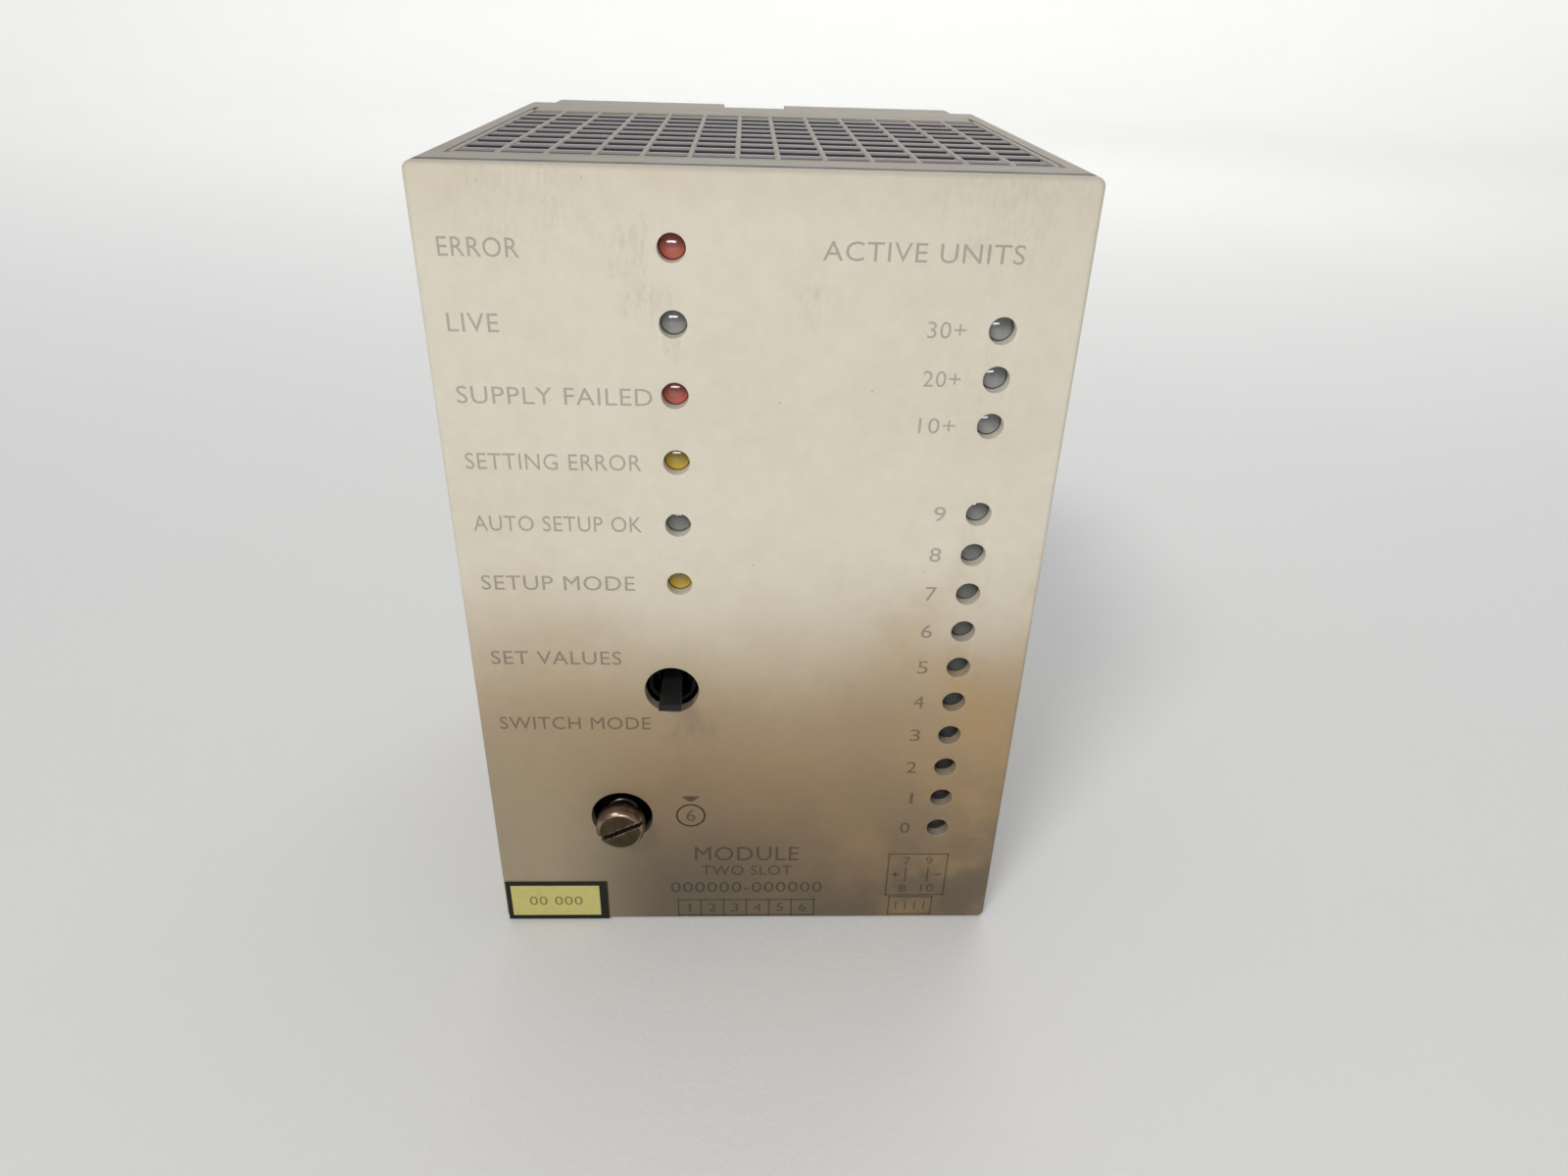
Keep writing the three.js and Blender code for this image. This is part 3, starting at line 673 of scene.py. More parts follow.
@dataclass(frozen=True)
class LampResin(Finish):
    """Cast resin of an indicator light, with painted shade above and round its rim, and painted light in its
    lower half.
    """

    # Painted light in the dome's lower half.
    lower_light: Colour = (0.6, 0.3, 0.2)
    # Painted shade on the lights near the foot.
    foot_shade_share: float = 1.0
    see_through: float = 0.2
    refraction: float = 1.52
    gloss: float = 0.1
    coat_roughness: float = 0.03
    # Painted shade round the dome's rim.
    rim_shade_share: float = 0.3
    lower_half: Pair = (-0.30, 0.50)
    facing: Pair = (0.30, 0.68)
    rise: Pair = (35.0 * MM, 110.0 * MM)

    def dress(self, graph: Graph, shader: bpy.types.Node) -> None:
        """Paints shade on the dome from top to bottom with a dark rim, paints light into its lower half, and
        paints shade on the lights near the foot, with less coat there.
        """
        _, forward, up = graph.split(graph.normal())
        lower = graph.span(graph.times(up, -1.0), *self.lower_half)
        facing = graph.span(graph.times(forward, -1.0), *self.facing)
        rim = tuple(part * self.rim_shade_share for part in self.colour)
        body = graph.mix(facing, rim, graph.mix(lower, self.colour, self.lower_light))
        height = graph.span(graph.split(graph.place())[2], *self.rise)
        light = graph.mix(height, (self.foot_shade_share,) * 3, (1.0, 1.0, 1.0))
        body = graph.mix(1.0, body, light, "MULTIPLY")
        tone = use_group(graph, mottle_group(), Scale=900.0, Contrast=0.25)
        graph.feed(shader.inputs["Base Color"], graph.mix(1.0, body, tone, "MULTIPLY"))
        rough = graph.times(graph.noise(graph.place(), 2500.0), self.roughness * 2.0)
        graph.feed(shader.inputs["Roughness"], rough)
        shader.inputs["Transmission Weight"].default_value = self.see_through
        shader.inputs["IOR"].default_value = self.refraction
        shader.inputs["Specular IOR Level"].default_value = self.gloss
        loss = graph.times(graph.flip(height), 1.0 - self.foot_shade_share)
        graph.feed(shader.inputs["Coat Weight"], graph.flip(loss))
        shader.inputs["Coat Roughness"].default_value = self.coat_roughness


@dataclass(frozen=True)
class PrintedInk(Finish):
    """Thin printed lettering, worn away in specks, that darkens the cover colour under it, painted shade
    included.
    """

    ground: "MouldedPlastic | None" = None
    faint: float = 0.60
    strong: float = 0.42
    rise: Pair = (12.0 * MM, 110.0 * MM)
    speck_range: Pair = (0.54, 0.8)
    speck_share: float = 0.45

    def dress(self, graph: Graph, shader: bpy.types.Node) -> None:
        """Darkens the ground's colour, painted shade included, more towards the foot, and lets it show in
        specks.
        """
        place = graph.place()
        under = self.ground.base(graph)
        high = graph.span(graph.split(place)[2], *self.rise)
        share = graph.mix(high, (self.strong,) * 3, (self.faint,) * 3)
        ink = graph.mix(1.0, graph.mix(1.0, under, share, "MULTIPLY"), self.colour, "MULTIPLY")
        specks = graph.span(graph.noise(place, 2600.0, 4.0, 0.7), *self.speck_range)
        graph.feed(shader.inputs["Base Color"], graph.mix(graph.times(specks, self.speck_share), ink, under))
        shader.inputs["Roughness"].default_value = self.roughness


@dataclass(frozen=True)
class CircuitLaminate(Finish):
    """Glass-fibre board with solder mask over copper tracks."""

    track: Colour = (0.05, 0.22, 0.07)
    track_edge: Pair = (0.05, 0.12)
    track_height: float = 0.03 * MM
    weave_roughness: float = 0.2

    def dress(self, graph: Graph, shader: bpy.types.Node) -> None:
        """Draws square raised tracks under the mask and a fine weave in the gloss."""
        place = graph.place()
        cells = graph.add("ShaderNodeTexVoronoi", distance="MANHATTAN", feature="DISTANCE_TO_EDGE")
        graph.feed(cells.inputs["Vector"], place)
        graph.feed(cells.inputs["Scale"], 260.0)
        line = graph.flip(graph.span(cells.outputs["Distance"], *self.track_edge))
        graph.feed(shader.inputs["Base Color"], graph.mix(line, self.colour, self.track))
        weave = graph.times(graph.noise(place, 1800.0, 2.0), self.weave_roughness)
        graph.feed(shader.inputs["Roughness"], graph.math("ADD", weave, self.roughness))
        self.bump(graph, shader, line, self.track_height)


@dataclass(frozen=True)
class WoundWire(Finish):
    """Lacquered wire laid turn beside turn, with painted shade between the turns."""

    turns: float = 414.0127
    waver: float = 0.6
    gap_shade_share: float = 0.35
    gap_depth: float = 0.1 * MM

    def dress(self, graph: Graph, shader: bpy.types.Node) -> None:
        """Makes a row of turns from a wave along Z, painting shade in the grooves between them."""
        wave = graph.add("ShaderNodeTexWave", bands_direction="Z")
        graph.feed(wave.inputs["Vector"], graph.place())
        graph.feed(wave.inputs["Scale"], self.turns)
        graph.feed(wave.inputs["Distortion"], self.waver)
        gap_shade = tuple(part * self.gap_shade_share for part in self.colour)
        graph.feed(shader.inputs["Base Color"], graph.mix(wave.outputs["Fac"], gap_shade, self.colour))
        shader.inputs["Roughness"].default_value = self.roughness
        self.bump(graph, shader, wave.outputs["Fac"], self.gap_depth)


@dataclass(frozen=True)
class LabelFilm(Finish):
    """Self-adhesive film, soiled and rubbed."""

    soil: Colour = (0.30, 0.28, 0.12)
    smears: Pair = (0.48, 0.74)
    smear_share: float = 0.4
    smear_roughness: float = 0.25
    gloss: float = 0.2
    scuff_depth: float = 0.015 * MM

    def dress(self, graph: Graph, shader: bpy.types.Node) -> None:
        """Adds smears and small scuffs."""
        place = graph.place()
        smear = graph.span(graph.noise(place, 420.0, 6.0, 0.7), *self.smears)
        colour = graph.mix(graph.times(smear, self.smear_share), self.colour, self.soil)
        graph.feed(shader.inputs["Base Color"], colour)
        rough = graph.math("ADD", graph.times(smear, self.smear_roughness), self.roughness)
        graph.feed(shader.inputs["Roughness"], rough)
        shader.inputs["Specular IOR Level"].default_value = self.gloss
        self.bump(graph, shader, graph.noise(place, 1500.0, 3.0), self.scuff_depth)


@dataclass(frozen=True)
class StudioPaper(Finish):
    """Plain pale paper with a trace of tooth."""

    tooth: float = 0.05 * MM

    def dress(self, graph: Graph, shader: bpy.types.Node) -> None:
        """Gives the paper a nearly even tone and a very fine tooth."""
        place = graph.place()
        tone = use_group(graph, mottle_group(), Scale=6.0, Contrast=0.04)
        graph.feed(shader.inputs["Base Color"], graph.mix(1.0, self.colour, tone, "MULTIPLY"))
        shader.inputs["Roughness"].default_value = self.roughness
        self.bump(graph, shader, graph.noise(place, 900.0, 2.0), self.tooth)


# ---------------------------------------------------------------- mesh making


def merged(bm: bmesh.types.BMesh, name: str) -> bpy.types.Mesh:
    """Turns a bmesh into a mesh with its doubles merged and its faces pointing out."""
    bmesh.ops.remove_doubles(bm, verts=bm.verts, dist=DOUBLES)
    bmesh.ops.recalc_face_normals(bm, faces=bm.faces)
    mesh = bpy.data.meshes.new(name)
    bm.to_mesh(mesh)
    bm.free()
    return mesh


def linked(name: str, data: bpy.types.ID) -> bpy.types.Object:
    """A new object of the data, in the scene."""
    made = bpy.data.objects.new(name, data)
    bpy.context.scene.collection.objects.link(made)
    return made


def plain_mesh(holder: bpy.types.Object) -> bpy.types.Mesh:
    """An object's finished shape as a mesh. The object is used up."""
    graph = bpy.context.evaluated_depsgraph_get()
    graph.update()
    result = bpy.data.meshes.new_from_object(holder.evaluated_get(graph), depsgraph=graph)
    bpy.data.objects.remove(holder)
    return result


def evaluated(mesh: bpy.types.Mesh, prepare: Callable[[bpy.types.Object], None]) -> bpy.types.Mesh:
    """Runs modifiers on a mesh and returns the plain result.

    Args:
        mesh: the mesh to start from, which is used up.
        prepare: adds the modifiers to the object that holds the mesh.

    Returns:
        The mesh with every modifier applied.
    """
    holder = linked("holder", mesh)
    prepare(holder)
    return plain_mesh(holder)


def smooth(mesh: bpy.types.Mesh, crease: float = 35.0) -> bpy.types.Mesh:
    """Shades a mesh smooth, with edges over the crease angle kept sharp."""
    mesh.polygons.foreach_set("use_smooth", [True] * len(mesh.polygons))
    mesh.set_sharp_from_angle(angle=math.radians(crease))
    return mesh


def weigh_normals(holder: bpy.types.Object) -> None:
    """Weights normals by face area, so that large flat faces shade flat."""
    weigh = holder.modifiers.new("normals", "WEIGHTED_NORMAL")
    weigh.keep_sharp = True


def rounded(mesh: bpy.types.Mesh, width: float, segments: int = 3, angle: float = 40.0) -> bpy.types.Mesh:
    """Rounds the sharp edges of a mesh.

    Args:
        mesh: the mesh, which is used up.
        width: how far the round reaches from the edge.
        segments: faces across the round.
        angle: edges that turn less than this stay as they are, in degrees.

    Returns:
        The rounded mesh with flat faces that shade flat.
    """

    def prepare(holder: bpy.types.Object) -> None:
        bevel = holder.modifiers.new("round", "BEVEL")
        bevel.width = width
        bevel.segments = segments
        bevel.limit_method = "ANGLE"
        bevel.angle_limit = math.radians(angle)
        bevel.use_clamp_overlap = True
        weigh_normals(holder)

    return evaluated(smooth(mesh, 75.0), prepare)


def node_copy(node: str) -> bpy.types.Mesh:
    """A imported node's mesh as a copy with whole, merged faces."""
    bm = bmesh.new()
    bm.from_mesh(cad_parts[node].data)
    bmesh.ops.remove_doubles(bm, verts=bm.verts, dist=PACKED_DOUBLES)
    bmesh.ops.dissolve_limit(bm, angle_limit=math.radians(FLAT_ANGLE), verts=bm.verts, edges=bm.edges)
    return merged(bm, node + "_shape")


def lathe(bm: bmesh.types.BMesh, profile: Sequence[Pair], x: float, z: float, sides: int) -> None:
    """Turns a profile about an axis along Y.

    Args:
        bm: where the faces go.
        profile: (radius, y) points; it starts and ends on the axis, or on the same point.
        x: the axis's place.
        z: the axis's height.
        sides: faces round the axis.
    """
    rings = []
    for radius, y in profile:
        if radius <= 0.0:
            rings.append([bm.verts.new((x, y, z))] * sides)
            continue
        ring = []
        for step in range(sides):
            angle = math.tau * step / sides
            ring.append(bm.verts.new((x + radius * math.cos(angle), y, z + radius * math.sin(angle))))
        rings.append(ring)
    for near, far in zip(rings, rings[1:]):
        for step in range(sides):
            following = (step + 1) % sides
            corners = [near[step], near[following], far[following], far[step]]
            distinct = list(dict.fromkeys(corners))
            if len(distinct) > 2:
                bm.faces.new(distinct)


def lathed(name: str, profile: Sequence[Pair], x: float, z: float, sides: int = 64) -> bpy.types.Mesh:
    """A turned mesh on its own."""
    bm = bmesh.new()
    lathe(bm, profile, x, z, sides)
    return merged(bm, name)


def arc(centre: Pair, radius: float, start: float, end: float, steps: int) -> list[Pair]:
    """Points on an arc, with angles in degrees."""
    points = []
    for step in range(steps + 1):
        angle = math.radians(start + (end - start) * step / steps)
        points.append((centre[0] + radius * math.cos(angle), centre[1] + radius * math.sin(angle)))
    return points


def box_into(bm: bmesh.types.BMesh, low: Triple, high: Triple) -> None:
    """Adds a closed box between two corners."""
    made = bmesh.ops.create_cube(bm, size=1.0)["verts"]
    middle = (Vector(low) + Vector(high)) / 2
    size = Vector(high) - Vector(low)
    for vert in made:
        vert.co = Vector(a * b for a, b in zip(vert.co, size)) + middle


def boxed(name: str, low: Triple, high: Triple, round_by: float) -> bpy.types.Mesh:
    """A box with rounded edges as a mesh of its own."""
    bm = bmesh.new()
    box_into(bm, low, high)
    return rounded(merged(bm, name), round_by)


@dataclass
class Bench:
    """Puts finished pieces down: gives them their finish and ties them to the frame."""

    put_down: list[str] = field(default_factory=list)

    def put(
        self,
        name: str,
        mesh: bpy.types.Mesh,
        finishes: Sequence[Finish],
        body: str = HOUSING,
        stands_for: Sequence[str] = (),
    ) -> None:
        """Makes an object of a mesh.

        Args:
            name: the piece's name.
            mesh: its finished mesh.
            finishes: one finish for each material slot, or none where the mesh has its own.
            body: the body it moves with.
            stands_for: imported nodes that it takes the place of.
        """
        if finishes and mesh.materials:
            mesh.materials.clear()
        for finish in finishes:
            mesh.materials.append(finish.material())
        piece = linked(name, mesh)
        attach(piece, body)
        if stands_for:
            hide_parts(*stands_for)
        self.put_down.append(name)
        log.info("%s: %d faces on %s", name, len(mesh.polygons), body)

    def refine(self, node: str, finish: Finish, width: float = 0.3 * MM) -> None:
        """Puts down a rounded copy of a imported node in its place."""
        mesh = rounded(node_copy(node), width)
        self.put(node + "_moulded", mesh, [finish], stands_for=[node])


def box_of(node: str) -> tuple[Vector, Vector]:
    """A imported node's lowest and highest corners."""
    low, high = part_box(node)
    return Vector(low), Vector(high)


def middle_of(node: str) -> Vector:
    """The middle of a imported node's box."""
    low, high = box_of(node)
    return (low + high) / 2


# ---------------------------------------------------------------- front cover


@dataclass
class FrontCover:
    """The flat moulded cover with its rounded front edge and its round holes."""

    finish: Finish
    edge_round: float = 0.8 * MM
    corner: float = 1.2 * MM
    hole_round: float = 0.12 * MM
    lamp_hole: float = 1.95 * MM
    switch_hole: float = 4.5 * MM
    screw_hole: float = 5.45 * MM
    least_corner: float = 0.3 * MM
    corner_shrink: float = 0.6
    hole_sides: int = 48
    corner_steps: int = 8
    edge_steps: int = 6

    def outline(self, low: Vector, high: Vector, inset: float) -> list[Pair]:
        """The cover's outline, drawn in by inset, as (x, z) points."""
        radius = max(self.corner - inset * self.corner_shrink, self.least_corner)
        left, right = low.x + inset + radius, high.x - inset - radius
        bottom, top = low.z + inset + radius, high.z - inset - radius
        points = []
        corners = ((right, top), (left, top), (left, bottom), (right, bottom))
        for quarter, centre in enumerate(corners):
            start = 90 * quarter
            points += arc(centre, radius, start, start + 90, self.corner_steps)
        return points

    def holes(self, lamps: Sequence[str]) -> list[tuple[float, float, float]]:
        """Every hole as (x, z, radius)."""
        behind = [(lamp, self.lamp_hole) for lamp in lamps]
        behind += [("switch_bushing", self.switch_hole), ("screw_guide_tube", self.screw_hole)]
        return [(middle_of(node).x, middle_of(node).z, radius) for node, radius in behind]

    def build(self, lamps: Sequence[str]) -> bpy.types.Mesh:
        """Makes the cover's mesh.

        Args:
            lamps: the nodes of the indicator lights that look out of it.

        Returns:
            The closed mesh.
        """
        low, high = box_of("front_cover")
        bm = bmesh.new()
        layers = []
        for step in range(self.edge_steps + 1):
            angle = math.pi / 2 * step / self.edge_steps
            inset = self.edge_round * (1 - math.sin(angle))
            layers.append((inset, low.y + self.edge_round * (1 - math.cos(angle))))
        layers.append((0.0, high.y))
        rings = [[bm.verts.new((x, y, z)) for x, z in self.outline(low, high, inset)] for inset, y in layers]
        self.join(bm, rings)
        front_edges = self.loop(bm, rings[0])
        back_edges = self.loop(bm, rings[-1])
        for x, z, radius in self.holes(lamps):
            eased = self.hole_round * 0.3
            levels = [(radius + self.hole_round, low.y), (radius + eased, low.y + eased)]
            levels += [(radius, low.y + self.hole_round), (radius, high.y)]
            circles = []
            for reach, y in levels:
                points = arc((x, z), reach, 0, 360, self.hole_sides)[:-1]
                circles.append([bm.verts.new((px, y, pz)) for px, pz in points])
            self.join(bm, circles)
            front_edges += self.loop(bm, circles[0])
            back_edges += self.loop(bm, circles[-1])
        bmesh.ops.triangle_fill(bm, use_beauty=True, use_dissolve=False, edges=front_edges)
        bmesh.ops.triangle_fill(bm, use_beauty=True, use_dissolve=False, edges=back_edges)
        return evaluated(smooth(merged(bm, "front_cover_shape"), 50.0), weigh_normals)

    @staticmethod
    def loop(bm: bmesh.types.BMesh, ring: list[bmesh.types.BMVert]) -> list[bmesh.types.BMEdge]:
        """The edges round a ring of corners, made where they are missing."""
        pairs = zip(ring, ring[1:] + ring[:1])
        return [bm.edges.get(pair) or bm.edges.new(pair) for pair in pairs]

    @staticmethod
    def join(bm: bmesh.types.BMesh, rings: list[list[bmesh.types.BMVert]]) -> None:
        """Fills the band between each ring and the next."""
        for near, far in zip(rings, rings[1:]):
            for step in range(len(near)):
                following = (step + 1) % len(near)
                bm.faces.new((near[step], near[following], far[following], far[step]))

    def dress(self, bench: Bench, lamps: Sequence[str]) -> None:
        """Puts down the cover and its two snap clips."""
        cover = self.build(lamps)
        bench.put("front_cover_moulding", cover, [self.finish], stands_for=["front_cover"])
        for side in ("left", "right"):
            bench.refine(f"cover_clip_{side}", self.finish)


# ---------------------------------------------------------------- printing


class Align(Enum):
    """Which point of a line of lettering its place gives."""

    LEFT = 0.0
    CENTRE = 0.5
    RIGHT = 1.0


@dataclass(frozen=True)
class Line:
    """A printed line: its words, place, width and capital height, all on the front face."""

    words: str
    x: float
    z: float
    width: float
    cap: float = 2.6 * MM
    align: Align = Align.LEFT


@dataclass
class FrontPrint:
    """Generic legends, a small table and three symbols printed on the cover."""

    finish: Finish
    thickness: float = 0.03 * MM
    stroke: float = 0.28 * MM
    letter_spacing: float = 1.06
    curve_steps: int = 3
    cells: int = 6
    ring_radius: float = 2.5 * MM
    ring_sides: int = 40
    lines: tuple[Line, ...] = ()

    def lettering(self, line: Line, face: float, thickness: float) -> bpy.types.Mesh:
        """One line's letters as a thin closed mesh on the plane y = face."""
        curve = bpy.data.curves.new("letters", "FONT")
        curve.body = line.words
        curve.size = 1.0
        curve.extrude = 0.5
        curve.resolution_u = self.curve_steps
        curve.space_character = self.letter_spacing
        mesh = plain_mesh(linked("letters", curve))
        across = [vert.co.x for vert in mesh.vertices]
        up = [vert.co.y for vert in mesh.vertices]
        wide = line.width / (max(across) - min(across))
        tall = line.cap / (max(up) - min(up))
        left = line.x - line.align.value * line.width
        for vert in mesh.vertices:
            x, y, depth = vert.co
            place = left + (x - min(across)) * wide
            vert.co = (place, face - depth * thickness, line.z - line.cap / 2 + (y - min(up)) * tall)
        return mesh

    def bar(self, bm: bmesh.types.BMesh, a: Pair, b: Pair, face: float, width: float) -> None:
        """A printed straight stroke from a to b, both (x, z)."""
        start, end = Vector(a), Vector(b)
        along = (end - start).normalized() * width / 2
        aside = Vector((-along.y, along.x))
        corners = [start - along + aside, start - along - aside, end + along - aside, end + along + aside]
        half = self.thickness / 2
        near = [bm.verts.new((c.x, face - half, c.y)) for c in corners]
        far = [bm.verts.new((c.x, face + half, c.y)) for c in corners]
        bm.faces.new(near)
        bm.faces.new(far)
        for step in range(4):
            following = (step + 1) % 4
            bm.faces.new((near[step], near[following], far[following], far[step]))

    def chain(self, bm: bmesh.types.BMesh, points: list[Pair], face: float) -> None:
        """Printed strokes from point to point and back to the first."""
        for a, b in zip(points, points[1:] + points[:1]):
            self.bar(bm, a, b, face, self.stroke)

    def upright(self, bm: bmesh.types.BMesh, x: float, low: float, high: float, face: float) -> None:
        """A printed upright stroke."""
        self.bar(bm, (x, low), (x, high), face, self.stroke)

    def level(self, bm: bmesh.types.BMesh, middle: Pair, half: float, face: float, width: float) -> None:
        """A printed level stroke about its middle."""
        x, z = middle
        self.bar(bm, (x - half, z), (x + half, z), face, width)

    def outline(self, bm: bmesh.types.BMesh, low: Pair, high: Pair, face: float) -> None:
        """A printed box between its lower left and upper right corners."""
        self.chain(bm, [low, (high[0], low[1]), high, (low[0], high[1])], face)

    def table(self, bm: bmesh.types.BMesh, face: float) -> None:
        """The row of cells at the foot."""
        left, right, low, top = -13.2 * MM, 12.6 * MM, 0.9 * MM, 4.9 * MM
        self.outline(bm, (left, low), (right, top), face)
        cell = (right - left) / self.cells
        for step in range(1, self.cells):
            self.upright(bm, left + step * cell, low, top, face)

    def ringed_number(self, bm: bmesh.types.BMesh, face: float) -> None:
        """The ring round a number, and the solid arrow above it."""
        centre = (-10.5 * MM, 25.9 * MM)
        self.chain(bm, arc(centre, self.ring_radius, 0, 360, self.ring_sides)[:-1], face)
        arrow_x, arrow_top, arrow_half, rows = -10.45 * MM, 30.2 * MM, 1.35 * MM, 4
        overlapping = self.stroke * 1.3
        for step in range(rows):
            half = arrow_half * (1 - step / rows)
            self.level(bm, (arrow_x, arrow_top - step * self.stroke), half, face, overlapping)

    def plug_sketch(self, bm: bmesh.types.BMesh, face: float) -> None:
        """The plug seen from in front, and the small contact strip below it."""
        self.outline(bm, (26.2 * MM, 6.1 * MM), (37.2 * MM, 16.5 * MM), face)
        for x, way in ((29.6 * MM, -1.0), (33.8 * MM, 1.0)):
            self.upright(bm, x, 9.6 * MM, 13.0 * MM, face)
            self.level(bm, (x + way * 1.9 * MM, 11.3 * MM), 0.6 * MM, face, self.stroke)
        self.upright(bm, 27.7 * MM, 10.7 * MM, 11.9 * MM, face)
        self.outline(bm, (27.0 * MM, 1.0 * MM), (35.2 * MM, 5.6 * MM), face)
        first, pitch, contacts = 28.4 * MM, 1.8 * MM, 4
        for step in range(contacts):
            self.upright(bm, first + step * pitch, 2.4 * MM, 4.2 * MM, face)

    def symbols(self, face: float) -> bpy.types.Mesh:
        """Everything printed that isn't lettering."""
        bm = bmesh.new()
        self.table(bm, face)
        self.ringed_number(bm, face)
        self.plug_sketch(bm, face)
        return merged(bm, "symbols")

    def dress(self, bench: Bench) -> None:
        """Puts down all the printing as one piece."""
        face = box_of("front_cover")[0].y
        parts = [self.lettering(line, face, self.thickness) for line in self.lines]
        parts.append(self.symbols(face))
        bm = bmesh.new()
        for part in parts:
            bm.from_mesh(part)
            bpy.data.meshes.remove(part)
        bmesh.ops.recalc_face_normals(bm, faces=bm.faces)
        mesh = bpy.data.meshes.new("front_print")
        bm.to_mesh(mesh)
        bm.free()
        bench.put("front_print", mesh, [self.finish])


# ---------------------------------------------------------------- indicator lights


@dataclass
class Lamp:
    """A round light-emitting diode: a domed resin body, its reflector cup and two legs."""

    node: str
    resin: Finish
    metal: Finish
    dome: float = 1.89 * MM
    flange: float = 1.95 * MM
    recess: float = 1.2 * MM
    dome_depth: float = 0.75 * MM
    dome_steps: int = 10
    flange_from: float = 4.2 * MM
    flange_length: float = 1.0 * MM
    cup: float = 0.62 * MM
    cup_from: float = 1.6 * MM
    cup_hollow: float = 0.35 * MM
    cup_length: float = 1.2 * MM
    cup_sides: int = 20
    leg: float = 0.5 * MM
    leg_from: float = 5.2 * MM
    leg_spread: float = 1.27 * MM
    sides: int = 40

    def body(self) -> bpy.types.Mesh:
        """The resin body with its flange."""
        low, middle = box_of(self.node)[0], middle_of(self.node)
        tip = low.y + self.recess
        profile = [(0.0, tip)]
        for step in range(1, self.dome_steps + 1):
            angle = math.pi / 2 * step / self.dome_steps
            depth = self.dome_depth * (1 - math.cos(angle))
            profile.append((self.dome * math.sin(angle), tip + depth))
        front = low.y + self.flange_from
        back = front + self.flange_length
        profile += [(self.dome, front), (self.flange, front), (self.flange, back), (0.0, back)]
        return lathed(self.node + "_resin", profile, middle.x, middle.z, self.sides)

    def inside(self) -> bpy.types.Mesh:
        """The reflector cup in the resin and the two legs behind it."""
        low, high = box_of(self.node)
        middle = middle_of(self.node)
        front = low.y + self.recess + self.cup_from
        floor = front + self.cup_hollow
        back = front + self.cup_length
        profile = [(0.0, floor), (self.cup * 0.6, floor), (self.cup, front), (self.cup * 1.1, front)]
        profile += [(self.cup * 0.7, back), (0.0, back)]
        bm = bmesh.new()
        lathe(bm, profile, middle.x, middle.z, self.cup_sides)
        half = self.leg / 2
        x, root = middle.x, low.y + self.leg_from
        for side in (-1, 1):
            z = middle.z + side * self.leg_spread
            box_into(bm, (x - half, root, z - half), (x + half, high.y, z + half))
        return merged(bm, self.node + "_metal")

    def dress(self, bench: Bench, slot: str) -> None:
        """Puts down the resin body and the metal inside and behind it."""
        bench.put(self.node + "_lens", smooth(self.body()), [self.resin], stands_for=[self.node])
        bench.put(self.node + "_leads", smooth(self.inside()), [self.metal])


@dataclass
class LampRows:
    """The two columns of lights and the moulded bars that hold them."""

    colours: dict[str, tuple[Finish, str]]
    clear: Finish
    metal: Finish
    black: Finish

    def nodes(self) -> list[str]:
        """The lights' nodes, in the order of their names."""
        return sorted(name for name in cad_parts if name.startswith("led_") and "holder" not in name)

    def dress(self, bench: Bench) -> None:
        """Puts down every light and both holders."""
        for node in self.nodes():
            resin, slot = self.colours.get(node, (self.clear, "led_clear"))
            Lamp(node, resin, self.metal).dress(bench, slot)
        for side in ("left", "right"):
            bench.refine(f"led_holder_{side}", self.black, 0.2 * MM)


# ---------------------------------------------------------------- toggle switch


@dataclass
class ToggleSwitch:
    """The small lever switch: body, bushing, pivot pin and its flat, flared lever."""

    black: Finish
    lever_finish: Finish
    steel: Finish
    bore: float = 3.3 * MM
    lip: float = 0.25 * MM

    def bushing(self) -> bpy.types.Mesh:
        """The bushing's ring, rounded in front."""
        low, high = box_of("switch_bushing")
        middle = middle_of("switch_bushing")
        outer = (high.x - low.x) / 2
        lip_y = low.y + self.lip
        profile = [(self.bore, high.y), (self.bore, lip_y)]
        profile += arc((self.bore + self.lip, lip_y), self.lip, 180, 270, 4)
        profile += arc((outer - self.lip, lip_y), self.lip, 270, 360, 4)
        profile += [(outer, high.y), (self.bore, high.y)]
        return lathed("bushing_ring", profile, middle.x, middle.z)

    def dress(self, bench: Bench) -> None:
        """Puts down the switch's pieces, the lever on its own body."""
        ring = smooth(self.bushing(), 50.0)
        bench.put("switch_bushing_ring", ring, [self.black], stands_for=["switch_bushing"])
        bench.refine("switch_body", self.black, 0.2 * MM)
        bench.refine("switch_pivot_pin", self.steel, 0.08 * MM)
        lever = rounded(node_copy("switch_lever"), 0.38 * MM, 4)
        finishes = [self.lever_finish]
        bench.put("switch_lever_bat", lever, finishes, "switch_lever", ["switch_lever"])


# ---------------------------------------------------------------- captive screw


